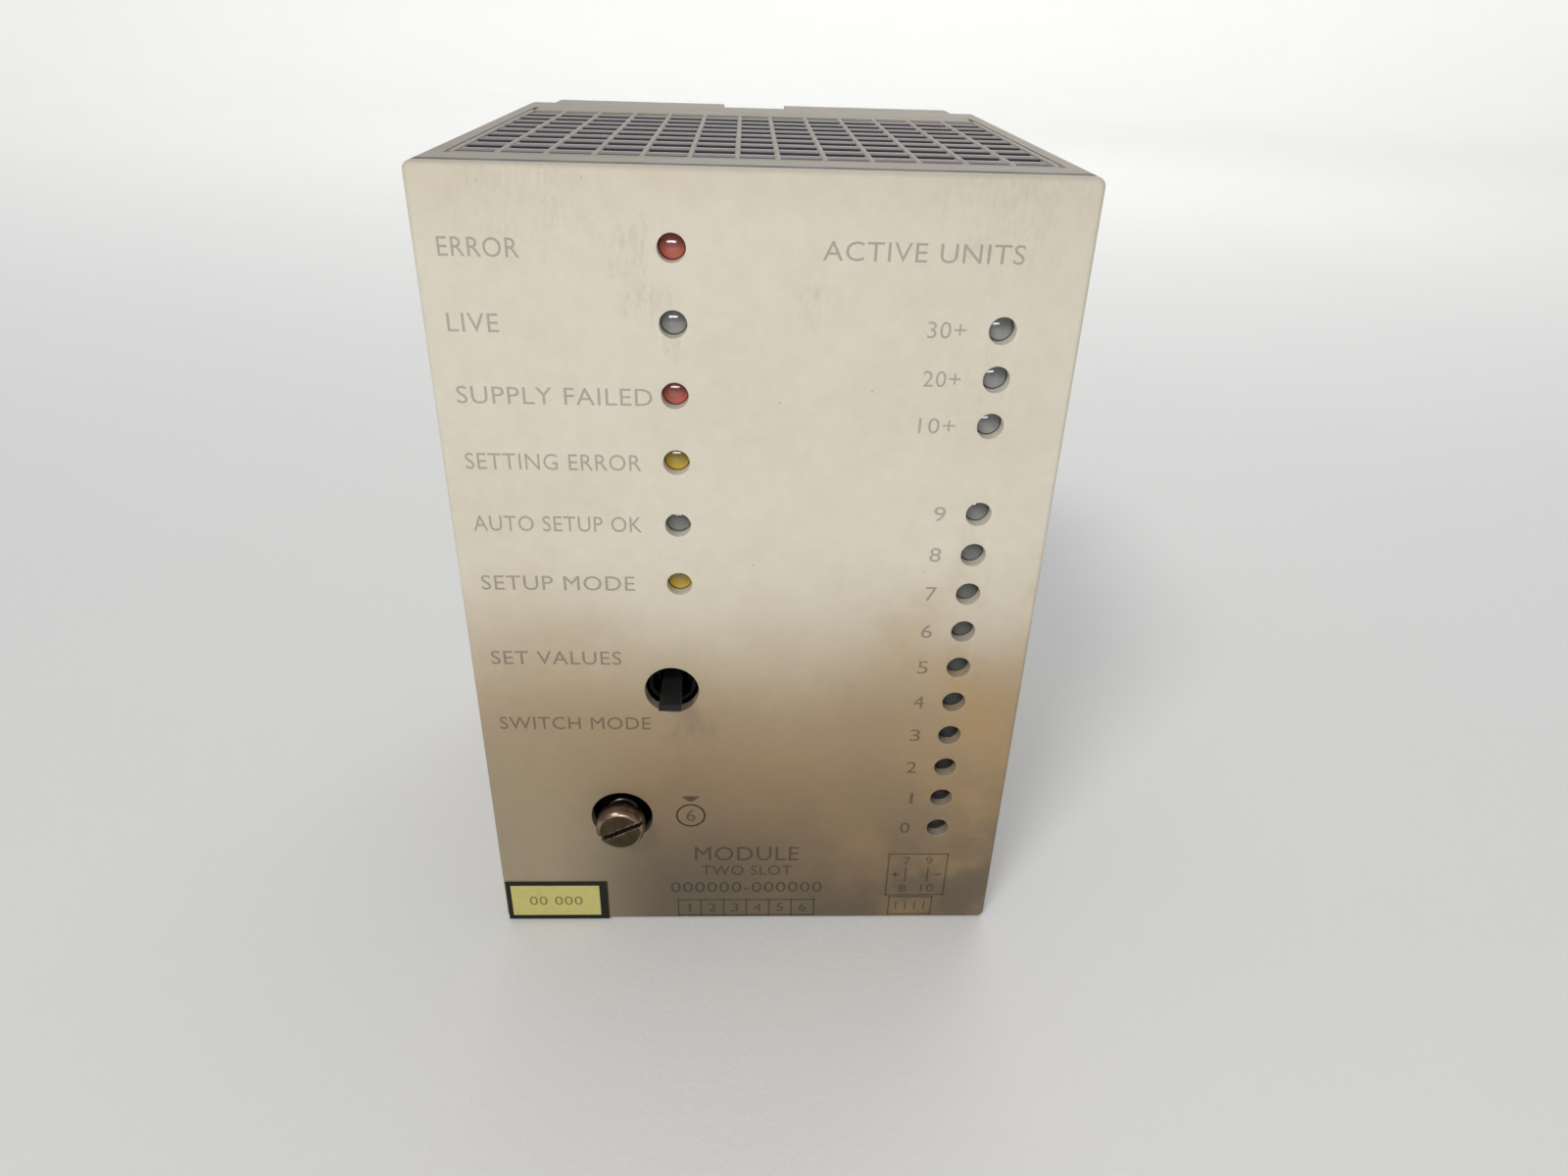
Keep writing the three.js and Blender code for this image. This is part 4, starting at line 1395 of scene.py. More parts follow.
@dataclass
class CaptiveScrew:
    """The slotted fixing screw, the tube and ring it turns in, and its retaining washer."""

    steel: Finish
    # The head's face finish, with its painted dark reflection.
    face: Finish
    ring_finish: Finish
    black: Finish
    head: float = 4.25 * MM
    head_length: float = 3.0 * MM
    edge: float = 0.9 * MM
    shank: float = 2.0 * MM
    thread: float = 0.22 * MM
    thread_pitch: float = 0.7 * MM
    thread_length: float = 14.0 * MM
    tip_length: float = 1.2 * MM
    tip_bevel: float = 0.6 * MM
    sides: int = 72
    slot_width: float = 1.1 * MM
    slot_depth: float = 1.3 * MM
    slot_angle: float = 26.5
    slot_round: float = 0.09 * MM
    face_slope: float = 0.985
    ring_bore: float = 2.3 * MM
    ring_lip: float = 0.12 * MM
    tube_mouth: float = 5.3 * MM
    tube_bore: float = 3.4 * MM
    tube_rear: float = 5.0 * MM
    mouth_length: float = 5.0 * MM
    stop_from: float = 57.7 * MM

    def screw(self) -> bpy.types.Mesh:
        """The screw with its rounded head, cut slot and threaded tip."""
        low, high = box_of("fixing_screw")
        middle = middle_of("fixing_screw")
        front = low.y
        profile = [(0.0, front), (self.head * 0.4, front)]
        profile += arc((self.head - self.edge, front + self.edge), self.edge, 270, 360, 8)
        profile += [(self.head, front + self.head_length), (self.shank, front + self.head_length)]
        start = high.y - self.thread_length
        profile.append((self.shank, start))
        turns = int((self.thread_length - self.tip_length) / self.thread_pitch)
        for turn in range(turns):
            y = start + turn * self.thread_pitch
            profile.append((self.shank - self.thread, y + self.thread_pitch * 0.5))
            profile.append((self.shank, y + self.thread_pitch))
        profile += [(self.shank - self.tip_bevel, high.y), (0.0, high.y)]
        mesh = lathed("screw_shape", profile, middle.x, middle.z, self.sides)
        return self.slotted(mesh, middle, front)

    def slotted(self, mesh: bpy.types.Mesh, middle: Vector, front: float) -> bpy.types.Mesh:
        """Cuts the driver slot across the head, rounds its lips and gives the head's face its own slot."""
        bm = bmesh.new()
        half = self.slot_width / 2
        reach = self.head * 1.5
        box_into(bm, (-reach, -self.slot_depth, -half), (reach, self.slot_depth, half))
        turn = Matrix.Rotation(-math.radians(self.slot_angle), 4, "Y")
        onto = Matrix.Translation((middle.x, front, middle.z)) @ turn
        bmesh.ops.transform(bm, matrix=onto, verts=bm.verts)
        cutter = linked("slot_cutter", merged(bm, "slot_cutter"))

        def prepare(holder: bpy.types.Object) -> None:
            cut = holder.modifiers.new("slot", "BOOLEAN")
            cut.operation = "DIFFERENCE"
            cut.solver = "EXACT"
            cut.object = cutter

        result = evaluated(mesh, prepare)
        bpy.data.objects.remove(cutter)
        shaped = smooth(rounded(result, self.slot_round, 2, 55.0), 42.0)
        for polygon in shaped.polygons:
            polygon.material_index = 1 if polygon.normal.y < -self.face_slope else 0
        return shaped

    def tube(self) -> bpy.types.Mesh:
        """The guide tube with its wide mouth, narrow bore and wide rear bore."""
        low, high = box_of("screw_guide_tube")
        middle = middle_of("screw_guide_tube")
        outer = (high.x - low.x) / 2
        mouth, bore, rear = self.tube_mouth, self.tube_bore, self.tube_rear
        mouth_back, stop = low.y + self.mouth_length, low.y + self.stop_from
        profile = [(mouth, low.y), (outer, low.y), (outer, high.y), (rear, high.y), (rear, stop)]
        profile += [(bore, stop), (bore, mouth_back), (mouth, mouth_back), (mouth, low.y)]
        return lathed("tube_shape", profile, middle.x, middle.z)

    def ring(self, node: str) -> bpy.types.Mesh:
        """A plain ring that fills a node's box, with bevelled rims."""
        low, high = box_of(node)
        middle = middle_of(node)
        outer = (high.x - low.x) / 2
        inner = self.ring_bore
        lip = min(self.ring_lip, (outer - inner) / 3)
        profile = [(inner, high.y - lip), (inner, low.y + lip), (inner + lip, low.y), (outer - lip, low.y)]
        profile += [(outer, low.y + lip), (outer, high.y - lip), (outer - lip, high.y), (inner + lip, high.y)]
        profile.append(profile[0])
        return lathed(node + "_shape", profile, middle.x, middle.z)

    def dress(self, bench: Bench) -> None:
        """Puts down the screw on its own body, and its sleeve and washer on theirs."""
        turning, sliding = "fixing_screw", "screw_carriage"
        faces = [self.steel, self.face]
        bench.put("fixing_screw_turned", self.screw(), faces, turning, ["fixing_screw"])
        sleeve = smooth(self.ring("screw_sleeve"))
        bench.put("screw_sleeve_ring", sleeve, [self.ring_finish], sliding, ["screw_sleeve"])
        node = "screw_retaining_washer"
        washer = smooth(self.ring(node))
        bench.put("retaining_washer_disc", washer, [self.black], sliding, [node])
        tube = smooth(self.tube(), 40.0)
        bench.put("guide_tube_moulding", tube, [self.black], stands_for=["screw_guide_tube"])


# ---------------------------------------------------------------- case


STILL = (0.0, 0.0, 0.0)
QUARTER_TURN = (0.0, 0.0, math.pi / 2)


@dataclass(frozen=True)
class GeometryInput:
    """A named input of a geometry tree."""

    name: str
    kind: str
    value: object


class GeometryTree:
    """Builds a Geometry Nodes tree and runs it into a plain mesh."""

    def __init__(self, name: str, inputs: Sequence[GeometryInput]) -> None:
        """Makes the tree with its named inputs."""
        self.tree = bpy.data.node_groups.new(name, "GeometryNodeTree")
        self.inputs = tuple(inputs)
        for entry in self.inputs:
            self.tree.interface.new_socket(name=entry.name, in_out="INPUT", socket_type=entry.kind)
        self.tree.interface.new_socket(name="Geometry", in_out="OUTPUT", socket_type="NodeSocketGeometry")
        self.graph = Graph(self.tree)
        self.start = self.graph.add("NodeGroupInput")
        self.end = self.graph.add("NodeGroupOutput")

    def value(self, name: str) -> bpy.types.NodeSocket:
        """The socket of a named input."""
        return self.start.outputs[name]

    def vector(self, x: object = 0.0, y: object = 0.0, z: object = 0.0) -> bpy.types.NodeSocket:
        """A vector from three numbers or sockets."""
        node = self.graph.add("ShaderNodeCombineXYZ")
        for socket, part in zip(node.inputs, (x, y, z)):
            self.graph.feed(socket, part)
        return node.outputs[0]

    def bar(self, length: object, width: object, height: object, edge: object) -> bpy.types.NodeSocket:
        """A bar along X with rounded edges, centred on the origin."""
        graph = self.graph
        outline = graph.add("GeometryNodeCurvePrimitiveQuadrilateral")
        graph.feed(outline.inputs["Width"], width)
        graph.feed(outline.inputs["Height"], height)
        fillet = graph.add("GeometryNodeFilletCurve")
        fillet.mode = "POLY"
        graph.feed(fillet.inputs["Curve"], outline.outputs["Curve"])
        graph.feed(fillet.inputs["Count"], 3)
        graph.feed(fillet.inputs["Radius"], edge)
        graph.feed(fillet.inputs["Limit Radius"], True)
        path = graph.add("GeometryNodeCurvePrimitiveLine")
        half = graph.times(length, 0.5)
        graph.feed(path.inputs["Start"], self.vector(graph.times(half, -1.0)))
        graph.feed(path.inputs["End"], self.vector(half))
        swept = graph.add("GeometryNodeCurveToMesh")
        graph.feed(swept.inputs["Curve"], path.outputs["Curve"])
        graph.feed(swept.inputs["Profile Curve"], fillet.outputs["Curve"])
        graph.feed(swept.inputs["Fill Caps"], True)
        return swept.outputs["Mesh"]

    def named_bar(self, *names: str) -> bpy.types.NodeSocket:
        """A bar whose length, width, height and edge are named inputs."""
        return self.bar(*(self.value(name) for name in names))

    def row(
        self, shape: object, count: object, start: object, step: object = STILL, turn: object = STILL
    ) -> bpy.types.NodeSocket:
        """Copies of a shape at equal steps from a start place."""
        graph = self.graph
        line = graph.add("GeometryNodeMeshLine", mode="OFFSET")
        graph.feed(line.inputs["Count"], count)
        graph.feed(line.inputs["Start Location"], start)
        graph.feed(line.inputs["Offset"], step)
        placed = graph.add("GeometryNodeInstanceOnPoints")
        graph.feed(placed.inputs["Points"], line.outputs["Mesh"])
        graph.feed(placed.inputs["Instance"], shape)
        graph.feed(placed.inputs["Rotation"], turn)
        return placed.outputs["Instances"]

    def finish(self, groups: dict[str, list[object]]) -> None:
        """Realises each group of shapes and sets its material.

        Args:
            groups: the shapes of each material, by the name of the material's input.
        """
        graph = self.graph
        together = graph.add("GeometryNodeJoinGeometry")
        for finish, shapes in groups.items():
            joined = graph.add("GeometryNodeJoinGeometry")
            for shape in shapes:
                graph.tree.links.new(shape, joined.inputs["Geometry"])
            real = graph.add("GeometryNodeRealizeInstances")
            graph.feed(real.inputs["Geometry"], joined.outputs["Geometry"])
            dressed = graph.add("GeometryNodeSetMaterial")
            graph.feed(dressed.inputs["Geometry"], real.outputs["Geometry"])
            graph.feed(dressed.inputs["Material"], self.value(finish))
            graph.tree.links.new(dressed.outputs["Geometry"], together.inputs["Geometry"])
        graph.feed(self.end.inputs["Geometry"], together.outputs["Geometry"])

    def run(self, name: str) -> bpy.types.Mesh:
        """Runs the tree with its inputs' values and returns the plain mesh."""

        def prepare(holder: bpy.types.Object) -> None:
            modifier = holder.modifiers.new("shape", "NODES")
            modifier.node_group = self.tree
            sockets = self.tree.interface.items_tree
            keys = {item.name: item.identifier for item in sockets if item.in_out == "INPUT"}
            for entry in self.inputs:
                modifier[keys[entry.name]] = entry.value

        return evaluated(bpy.data.meshes.new(name), prepare)


@dataclass
class VentGrille:
    """A moulded vent: narrow front-to-back ribs across wide slats, in a thin frame."""

    finish: Finish
    slat_finish: Finish
    slats: int = 9
    slat_pitch: float = 6.75 * MM
    slat_width: float = 4.55 * MM
    slat_height: float = 1.1 * MM
    slot: float = 2.2 * MM
    sunk: float = 0.12 * MM
    tilt: float = 2.0
    ribs_a_side: int = 6
    rib_pitch: float = 6.6 * MM
    rib: float = 0.85 * MM
    rib_inset: float = 0.56 * MM
    middle_column: float = 5.7 * MM
    rim: float = 0.8 * MM
    flange: float = 1.0 * MM
    flange_height: float = 0.8 * MM
    edge: float = 0.22 * MM
    rib_edge: float = 0.36 * MM
    rim_edge: float = 0.15 * MM
    flange_edge: float = 0.1 * MM

    def inputs(self, width: float, depth: float, tall: float, lean: float) -> list[GeometryInput]:
        """The tree's inputs, from its opening's size, the ribs' height and the slats' lean."""
        rib_length = depth - self.rim / 2 - self.slat_width - self.rib_inset
        return [
            GeometryInput("Width", FLOAT, width),
            GeometryInput("Depth", FLOAT, depth),
            GeometryInput("Slat Width", FLOAT, self.slat_width),
            GeometryInput("Slat Height", FLOAT, self.slat_height),
            GeometryInput("Slat Edge", FLOAT, self.edge),
            GeometryInput("Slat Tilt", FLOAT, lean),
            GeometryInput("Slat Pitch", FLOAT, self.slat_pitch),
            GeometryInput("Slats", INTEGER, self.slats),
            GeometryInput("Rib Length", FLOAT, rib_length),
            GeometryInput("Rib Width", FLOAT, self.rib),
            GeometryInput("Rib Height", FLOAT, tall),
            GeometryInput("Rib Edge", FLOAT, self.rib_edge),
            GeometryInput("Rib Pitch", FLOAT, self.rib_pitch),
            GeometryInput("Ribs a Side", INTEGER, self.ribs_a_side),
            GeometryInput("Finish", "NodeSocketMaterial", self.finish.material()),
            GeometryInput("Slat Finish", "NodeSocketMaterial", self.slat_finish.material()),
        ]

    def slat_row(self, made: GeometryTree, low: Vector, level: float) -> bpy.types.NodeSocket:
        """The slats, from the front one back."""
        slat = made.named_bar("Width", "Slat Width", "Slat Height", "Slat Edge")
        first = low.y + self.flange + self.rim + self.slot + self.slat_width / 2
        step = made.vector(0.0, made.value("Slat Pitch"))
        lean = made.vector(made.value("Slat Tilt"))
        return made.row(slat, made.value("Slats"), (0.0, first, level), step, lean)

    def ribs(self, made: GeometryTree, low: Vector, high: Vector, level: float) -> list[bpy.types.NodeSocket]:
        """The ribs, which leave a narrower column between the middle two."""
        rib = made.named_bar("Rib Length", "Rib Width", "Rib Height", "Rib Edge")
        forward = (self.slat_width + self.rib_inset - self.rim / 2) / 2
        middle = (low.y + high.y) / 2 - forward
        rows = []
        for side in (-1.0, 1.0):
            start = (side * self.middle_column / 2, middle, level)
            step = made.vector(made.graph.times(made.value("Rib Pitch"), side))
            rows.append(made.row(rib, made.value("Ribs a Side"), start, step, QUARTER_TURN))
        return rows

    def rims(self, made: GeometryTree, low: Vector, high: Vector, level: float) -> list[bpy.types.NodeSocket]:
        """The bars round the opening: a narrow front, a wide back and two sides."""
        height = made.value("Rib Height")
        back_width = self.slat_width + self.rim
        front_bar = made.bar(made.value("Width"), self.rim, height, self.rim_edge)
        back_bar = made.bar(made.value("Width"), back_width, height, self.rim_edge)
        side_bar = made.bar(made.value("Depth"), self.rim, height, self.rim_edge)
        front = low.y + self.flange + self.rim / 2
        back = high.y - self.flange - back_width / 2
        left = low.x + self.flange + self.rim / 2
        side = (left, (low.y + high.y) / 2, level)
        return [
            made.row(front_bar, 1, (0.0, front, level)),
            made.row(back_bar, 1, (0.0, back, level)),
            made.row(side_bar, 2, side, (-2 * left, 0.0, 0.0), QUARTER_TURN),
        ]

    def flanges(
        self, made: GeometryTree, low: Vector, high: Vector, level: float
    ) -> list[bpy.types.NodeSocket]:
        """The flange round the foot of the bars, as two long and two short bars."""
        width = self.flange + self.rim
        size = high - low
        long_bar = made.bar(size.x, width, self.flange_height, self.flange_edge)
        short_bar = made.bar(size.y - 2 * self.flange, width, self.flange_height, self.flange_edge)
        front = (0.0, low.y + width / 2, level)
        left = (low.x + width / 2, (low.y + high.y) / 2, level)
        return [
            made.row(long_bar, 2, front, (0.0, size.y - width, 0.0)),
            made.row(short_bar, 2, left, (size.x - width, 0.0, 0.0), QUARTER_TURN),
        ]

    def tree(self, low: Vector, high: Vector, upward: bool) -> GeometryTree:
        """The geometry tree of one grille.

        Args:
            low: lowest corner of its box.
            high: highest corner of its box.
            upward: whether the ribs show on the upper side.

        Returns:
            The tree, ready to run.
        """
        width = high.x - low.x - 2 * self.flange
        depth = high.y - low.y - 2 * self.flange
        tall = high.z - low.z - self.flange_height
        face, inward = (high.z, -1.0) if upward else (low.z, 1.0)
        tilt = math.radians(self.tilt)
        drop = self.slat_width * math.sin(tilt)
        slat_level = face + inward * (self.sunk + (self.slat_height + drop) / 2)
        bar_level = face + inward * tall / 2
        flange_level = face + inward * (tall + self.flange_height / 2)
        made = GeometryTree("vent grille", self.inputs(width, depth, tall, inward * tilt))
        shapes = self.ribs(made, low, high, bar_level)
        shapes += self.rims(made, low, high, bar_level)
        shapes += self.flanges(made, low, high, flange_level)
        made.finish({"Finish": shapes, "Slat Finish": [self.slat_row(made, low, slat_level)]})
        return made

    def dress(self, bench: Bench) -> None:
        """Puts down the top and the bottom grille."""
        for side, upward in (("top", True), ("bottom", False)):
            node = f"{side}_vent_grille"
            mesh = self.tree(*box_of(node), upward).run(node + "_shape")
            bench.put(f"{side}_grille_moulding", smooth(mesh, 50.0), [], stands_for=[node])


@dataclass
class Case:
    """The deep sleeve and the rear cover with its coding key."""

    sleeve: Finish
    key: Finish

    def dress(self, bench: Bench) -> None:
        """Puts down the case's mouldings."""
        bench.refine("housing_sleeve", self.sleeve, 0.25 * MM)
        bench.refine("rear_cover", self.sleeve, 0.3 * MM)
        bench.refine("coding_key", self.key, 0.25 * MM)


# ---------------------------------------------------------------- inside and rear


@dataclass
class Electronics:
    """The boards, what stands on them and the rear plugs."""

    laminate: Finish
    black: Finish
    gold: Finish
    aluminium: Finish
    can: Finish
    ferrite: Finish
    copper: Finish
    pin_length: float = 4.8 * MM
    pin_round: float = 0.12 * MM
    plate_round: float = 0.05 * MM

    def contacts(self, bench: Bench, node: str) -> None:
        """Puts down a strip of gilt pins on its dark carrier plate."""
        mesh = rounded(node_copy(node), self.pin_round)
        plate = box_of(node)[1].y - self.pin_length
        for polygon in mesh.polygons:
            polygon.material_index = 1 if polygon.center.y > plate + self.plate_round else 0
        bench.put(node + "_moulded", mesh, [self.black, self.gold], stands_for=[node])

    def dress(self, bench: Bench) -> None:
        """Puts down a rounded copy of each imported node, in its own finish."""
        groups = (
            (("front_board", "main_board", "link_board"), self.laminate, "circuit_board", 0.15),
            (("rear_plug_left", "rear_plug_right"), self.black, "black_plastic", 0.3),
            (("board_link_left", "board_link_right"), self.black, "black_plastic", 0.2),
            (("processor_chip", "memory_chip", "bus_chip"), self.black, "black_plastic", 0.08),
            (("voltage_regulator",), self.black, "black_plastic", 0.2),
            (("clock_crystal", "heat_sink"), self.aluminium, "aluminium", 0.2),
            (("input_capacitor",), self.can, "capacitor_wrap", 0.8),
            (("transformer_core",), self.ferrite, "ferrite", 0.2),
            (("transformer_winding",), self.copper, "copper_wire", 0.8),
        )
        for nodes, finish, slot, width in groups:
            for node in nodes:
                bench.refine(node, finish, width * MM)
        for side in ("left", "right"):
            self.contacts(bench, f"rear_contacts_{side}")
        for number in range(1, 5):
            bench.refine(f"board_spacer_{number}", self.aluminium, 0.2 * MM)


# ---------------------------------------------------------------- label


@dataclass
class IdLabel:
    """A small yellow label with a dark border, at the foot of the cover."""

    border: Finish
    field_finish: Finish
    ink: Finish
    margin: float = 0.9 * MM
    foot_margin: float = 1.08 * MM
    right_margin: float = 1.5 * MM
    film_sunk: float = 0.08 * MM
    field_sunk: float = 0.02 * MM
    print_share: float = 0.6

    def dress(self, bench: Bench) -> None:
        """Puts down the border film, the yellow field and its faint figures."""
        low, high = box_of("id_label")
        film = boxed("label_film", (low.x, low.y + self.film_sunk, low.z), tuple(high), 0.06 * MM)
        bench.put("id_label_film", film, [self.border], stands_for=["id_label"])
        left, right = low.x + self.margin, high.x - self.right_margin
        bottom, top = low.z + self.foot_margin, high.z - self.margin
        face = low.y + self.field_sunk
        panel = boxed("label_field", (left, face, bottom), (right, high.y, top), 0.05 * MM)
        bench.put("id_label_field", panel, [self.field_finish])
        middle = ((left + right) / 2, (bottom + top) / 2)
        figures = Line("00 000", *middle, (right - left) * self.print_share, 2.2 * MM, Align.CENTRE)
        mesh = FrontPrint(self.ink).lettering(figures, face, 0.02 * MM)
        bench.put("id_label_figures", mesh, [self.ink])


# ---------------------------------------------------------------- studio


@dataclass(frozen=True)
class AreaLight:
    """A soft rectangular light that faces its target."""

    name: str
    place: Triple
    power: float
    size: Pair
    tint: Colour
    target: Triple = (0.0, 0.0, 0.08)

    def build(self) -> None:
        """Adds the light to the scene."""
        data = bpy.data.lights.new(self.name, "AREA")
        data.energy = self.power
        data.shape = "RECTANGLE"
        data.size, data.size_y = self.size
        data.color = self.tint
        aim = Vector(self.target) - Vector(self.place)
        turn = aim.to_track_quat("-Z", "Y").to_matrix().to_4x4()
        linked(self.name, data).matrix_world = Matrix.Translation(self.place) @ turn


@dataclass(frozen=True)
class SunLight:
    """An even light from far away, soft by its spread in degrees."""

    name: str
    towards: Triple
    strength: float
    spread: float
    tint: Colour

    def build(self) -> None:
        """Adds the light to the scene."""
        data = bpy.data.lights.new(self.name, "SUN")
        data.energy = self.strength
        data.angle = math.radians(self.spread)
        data.color = self.tint
        turn = Vector(self.towards).to_track_quat("Z", "Y").to_matrix().to_4x4()
        linked(self.name, data).matrix_world = turn


LIGHTS = (
    SunLight("daylight", (-0.42, -0.62, 0.80), 0.95, 16.0, (1.0, 0.98, 0.95)),
    AreaLight("key", (-0.05, -0.46, 0.15), 0.76, (0.26, 0.05), (1.0, 0.97, 0.92)),
    AreaLight("back", (0.25, 0.9, 0.8), 2.2, (0.9, 0.9), (1.0, 0.99, 0.97)),
    AreaLight("wall_wash", (0.0, 1.1, 1.6), 22.0, (2.4, 0.5), (1.0, 0.99, 0.97), (0.0, 2.6, 0.2)),
)


@dataclass
class Studio:
    """A pale cove, soft lights and the camera."""

    floor: Finish
    radius: float = 2.6
    bend: float = 0.8
    wall: float = 1.1
    backing: float = 0.1
    bend_steps: int = 24
    sides: int = 128
    lens: float = 23.76
    sensor: float = 36.0
    nearest: float = 0.01
    eye: Triple = (-0.00167, -0.18925, 0.15341)
    heading: float = -2.67
    dip: float = 29.34
    roll: float = 1.83
    sky: Colour = (0.92, 0.95, 1.0)
    sky_strength: float = 0.38

    def camera(self) -> None:
        """Places the camera and makes it the scene's."""
        data = bpy.data.cameras.new("camera")
        data.lens = self.lens
        data.sensor_width = self.sensor
        data.clip_start = self.nearest
        turn = Matrix.Identity(4)
        for angle, axis in ((self.heading, "Z"), (90.0 - self.dip, "X"), (self.roll, "Z")):
            turn = turn @ Matrix.Rotation(math.radians(angle), 4, axis)
        camera = linked("camera", data)
        camera.matrix_world = Matrix.Translation(self.eye) @ turn
        bpy.context.scene.camera = camera

    def cove(self) -> bpy.types.Mesh:
        """The floor, which curves up into a low wall all round."""
        flat = self.radius - self.bend
        outside = self.radius + self.backing
        profile = [(0.0, 0.0), (flat, 0.0)] + arc((flat, self.bend), self.bend, 270, 360, self.bend_steps)
        profile += [(self.radius, self.wall), (outside, self.wall), (outside, -self.backing)]
        profile.append((0.0, -self.backing))
        bm = bmesh.new()
        lathe(bm, profile, 0.0, 0.0, self.sides)
        bmesh.ops.transform(bm, matrix=Matrix.Rotation(math.pi / 2, 4, "X"), verts=bm.verts)
        return smooth(merged(bm, "floor"))

    def build(self) -> None:
        """Sets up floor, lights, world and camera."""
        self.camera()
        mesh = self.cove()
        mesh.materials.append(self.floor.material())
        floor = linked("floor", mesh)
        for light in LIGHTS:
            light.build()
        world = bpy.data.worlds.new("studio")
        world.use_nodes = True
        background = world.node_tree.nodes["Background"]
        background.inputs["Color"].default_value = (*self.sky, 1.0)
        background.inputs["Strength"].default_value = self.sky_strength
        bpy.context.scene.world = world
        bpy.context.scene.view_settings.view_transform = "Standard"


# ---------------------------------------------------------------- the module


LEGENDS = (
    Line("ERROR", -42.4 * MM, 124.5 * MM, 10.7 * MM),
    Line("LIVE", -42.4 * MM, 114.4 * MM, 7.0 * MM),
    Line("SUPPLY FAILED", -42.4 * MM, 104.1 * MM, 27.7 * MM),
    Line("SETTING ERROR", -42.4 * MM, 94.0 * MM, 25.7 * MM),
    Line("AUTO SETUP OK", -42.4 * MM, 83.9 * MM, 25.4 * MM),
    Line("SETUP MODE", -42.4 * MM, 73.6 * MM, 23.9 * MM),
    Line("SET VALUES", -42.4 * MM, 59.6 * MM, 21.1 * MM),
    Line("SWITCH MODE", -42.4 * MM, 46.4 * MM, 25.4 * MM),
    Line("ACTIVE UNITS", 8.8 * MM, 125.0 * MM, 27.4 * MM),
    Line("MODULE", -0.3 * MM, 16.65 * MM, 19.2 * MM, 3.4 * MM, Align.CENTRE),
    Line("TWO SLOT", -0.3 * MM, 12.5 * MM, 16.8 * MM, 2.4 * MM, Align.CENTRE),
    Line("000000-000000", -0.3 * MM, 8.2 * MM, 28.5 * MM, 2.6 * MM, Align.CENTRE),
    Line("6", -10.5 * MM, 25.9 * MM, 1.7 * MM, 2.6 * MM, Align.CENTRE),
)

SMUDGES_AND_SHADOW = (
    SmudgeAndShadow(-0.0165, 0.1255, 0.0060, 0.34, 900.0),
    SmudgeAndShadow(-0.0150, 0.1170, 0.0050, 0.25, 1300.0),
    SmudgeAndShadow(0.0080, 0.1185, 0.0055, 0.25, 900.0),
    SmudgeAndShadow(-0.0125, 0.1120, 0.0035, 0.34, 1100.0),
    # Painted shadow of the switch lever, falling to its lower right.
    SmudgeAndShadow(-0.0095, 0.0455, 0.0060, 0.60, 900.0),
    SmudgeAndShadow(-0.0060, 0.0400, 0.0080, 0.25, 500.0),
    SmudgeAndShadow(0.0300, 0.1080, 0.0080, 0.12, 1300.0),
    SmudgeAndShadow(-0.0300, 0.1330, 0.0150, 0.19, 1500.0),
    SmudgeAndShadow(0.0350, 0.1335, 0.0150, 0.19, 1500.0),
)


def count_lines() -> list[Line]:
    """The numbers beside the right-hand column of lights."""
    lines = []
    for tens in (30, 20, 10):
        place = middle_of(f"led_tens_{tens}")
        lines.append(Line(f"{tens}+", 29.3 * MM, place.z, 5.4 * MM, 2.4 * MM, Align.RIGHT))
    for units in range(10):
        place = middle_of(f"led_units_{units}")
        wide = 0.55 if units == 1 else 1.8
        lines.append(Line(str(units), 29.4 * MM, place.z, wide * MM, 2.5 * MM, Align.RIGHT))
    return lines


def small_lines() -> list[Line]:
    """The figures in the table and by the terminal sketches."""
    lines = []
    for number in range(1, 7):
        x = (-13.2 + (number - 0.5) * 4.3) * MM
        wide = 0.4 if number == 1 else 1.4
        lines.append(Line(str(number), x, 2.9 * MM, wide * MM, 2.1 * MM, Align.CENTRE))
    for words, x, z in (("7", 29.6, 14.8), ("9", 33.8, 14.8), ("8", 29.3, 7.8), ("10", 34.0, 7.8)):
        lines.append(Line(words, x * MM, z * MM, 1.3 * len(words) * MM, 1.9 * MM, Align.CENTRE))
    return lines


# ---------------------------------------------------------------- finishes in use


CREAM = MouldedPlastic("key_plastic", (0.60, 0.545, 0.43), 0.5)
SLEEVE = SeamShadedSleeve(
    "sleeve_plastic_grained", (0.375, 0.334, 0.268), 0.55, edge=(0.5, 0.47, 0.41), grain=2600.0
)
BLACK = MouldedPlastic(
    "black_plastic_moulded",
    (0.005, 0.005, 0.0055),
    0.6,
    edge=(0.02, 0.02, 0.02),
    dusting=0.01,
    gloss=0.08,
)
LEVER = MouldedPlastic(
    "lever_plastic", (0.009, 0.009, 0.0095), 0.45, edge=(0.03, 0.03, 0.03), dusting=0.02, gloss=0.25
)
CAN = MouldedPlastic("capacitor_sleeve", (0.02, 0.035, 0.07), 0.3, edge=(0.1, 0.12, 0.16))
FERRITE = MouldedPlastic("ferrite_core", (0.04, 0.04, 0.042), 0.7, grain=1500.0)

STEEL = PlatedMetal(
    "screw_steel_bright", (0.30, 0.225, 0.175), 0.22, stain=(0.10, 0.05, 0.035), staining=0.8, patch=380.0
)
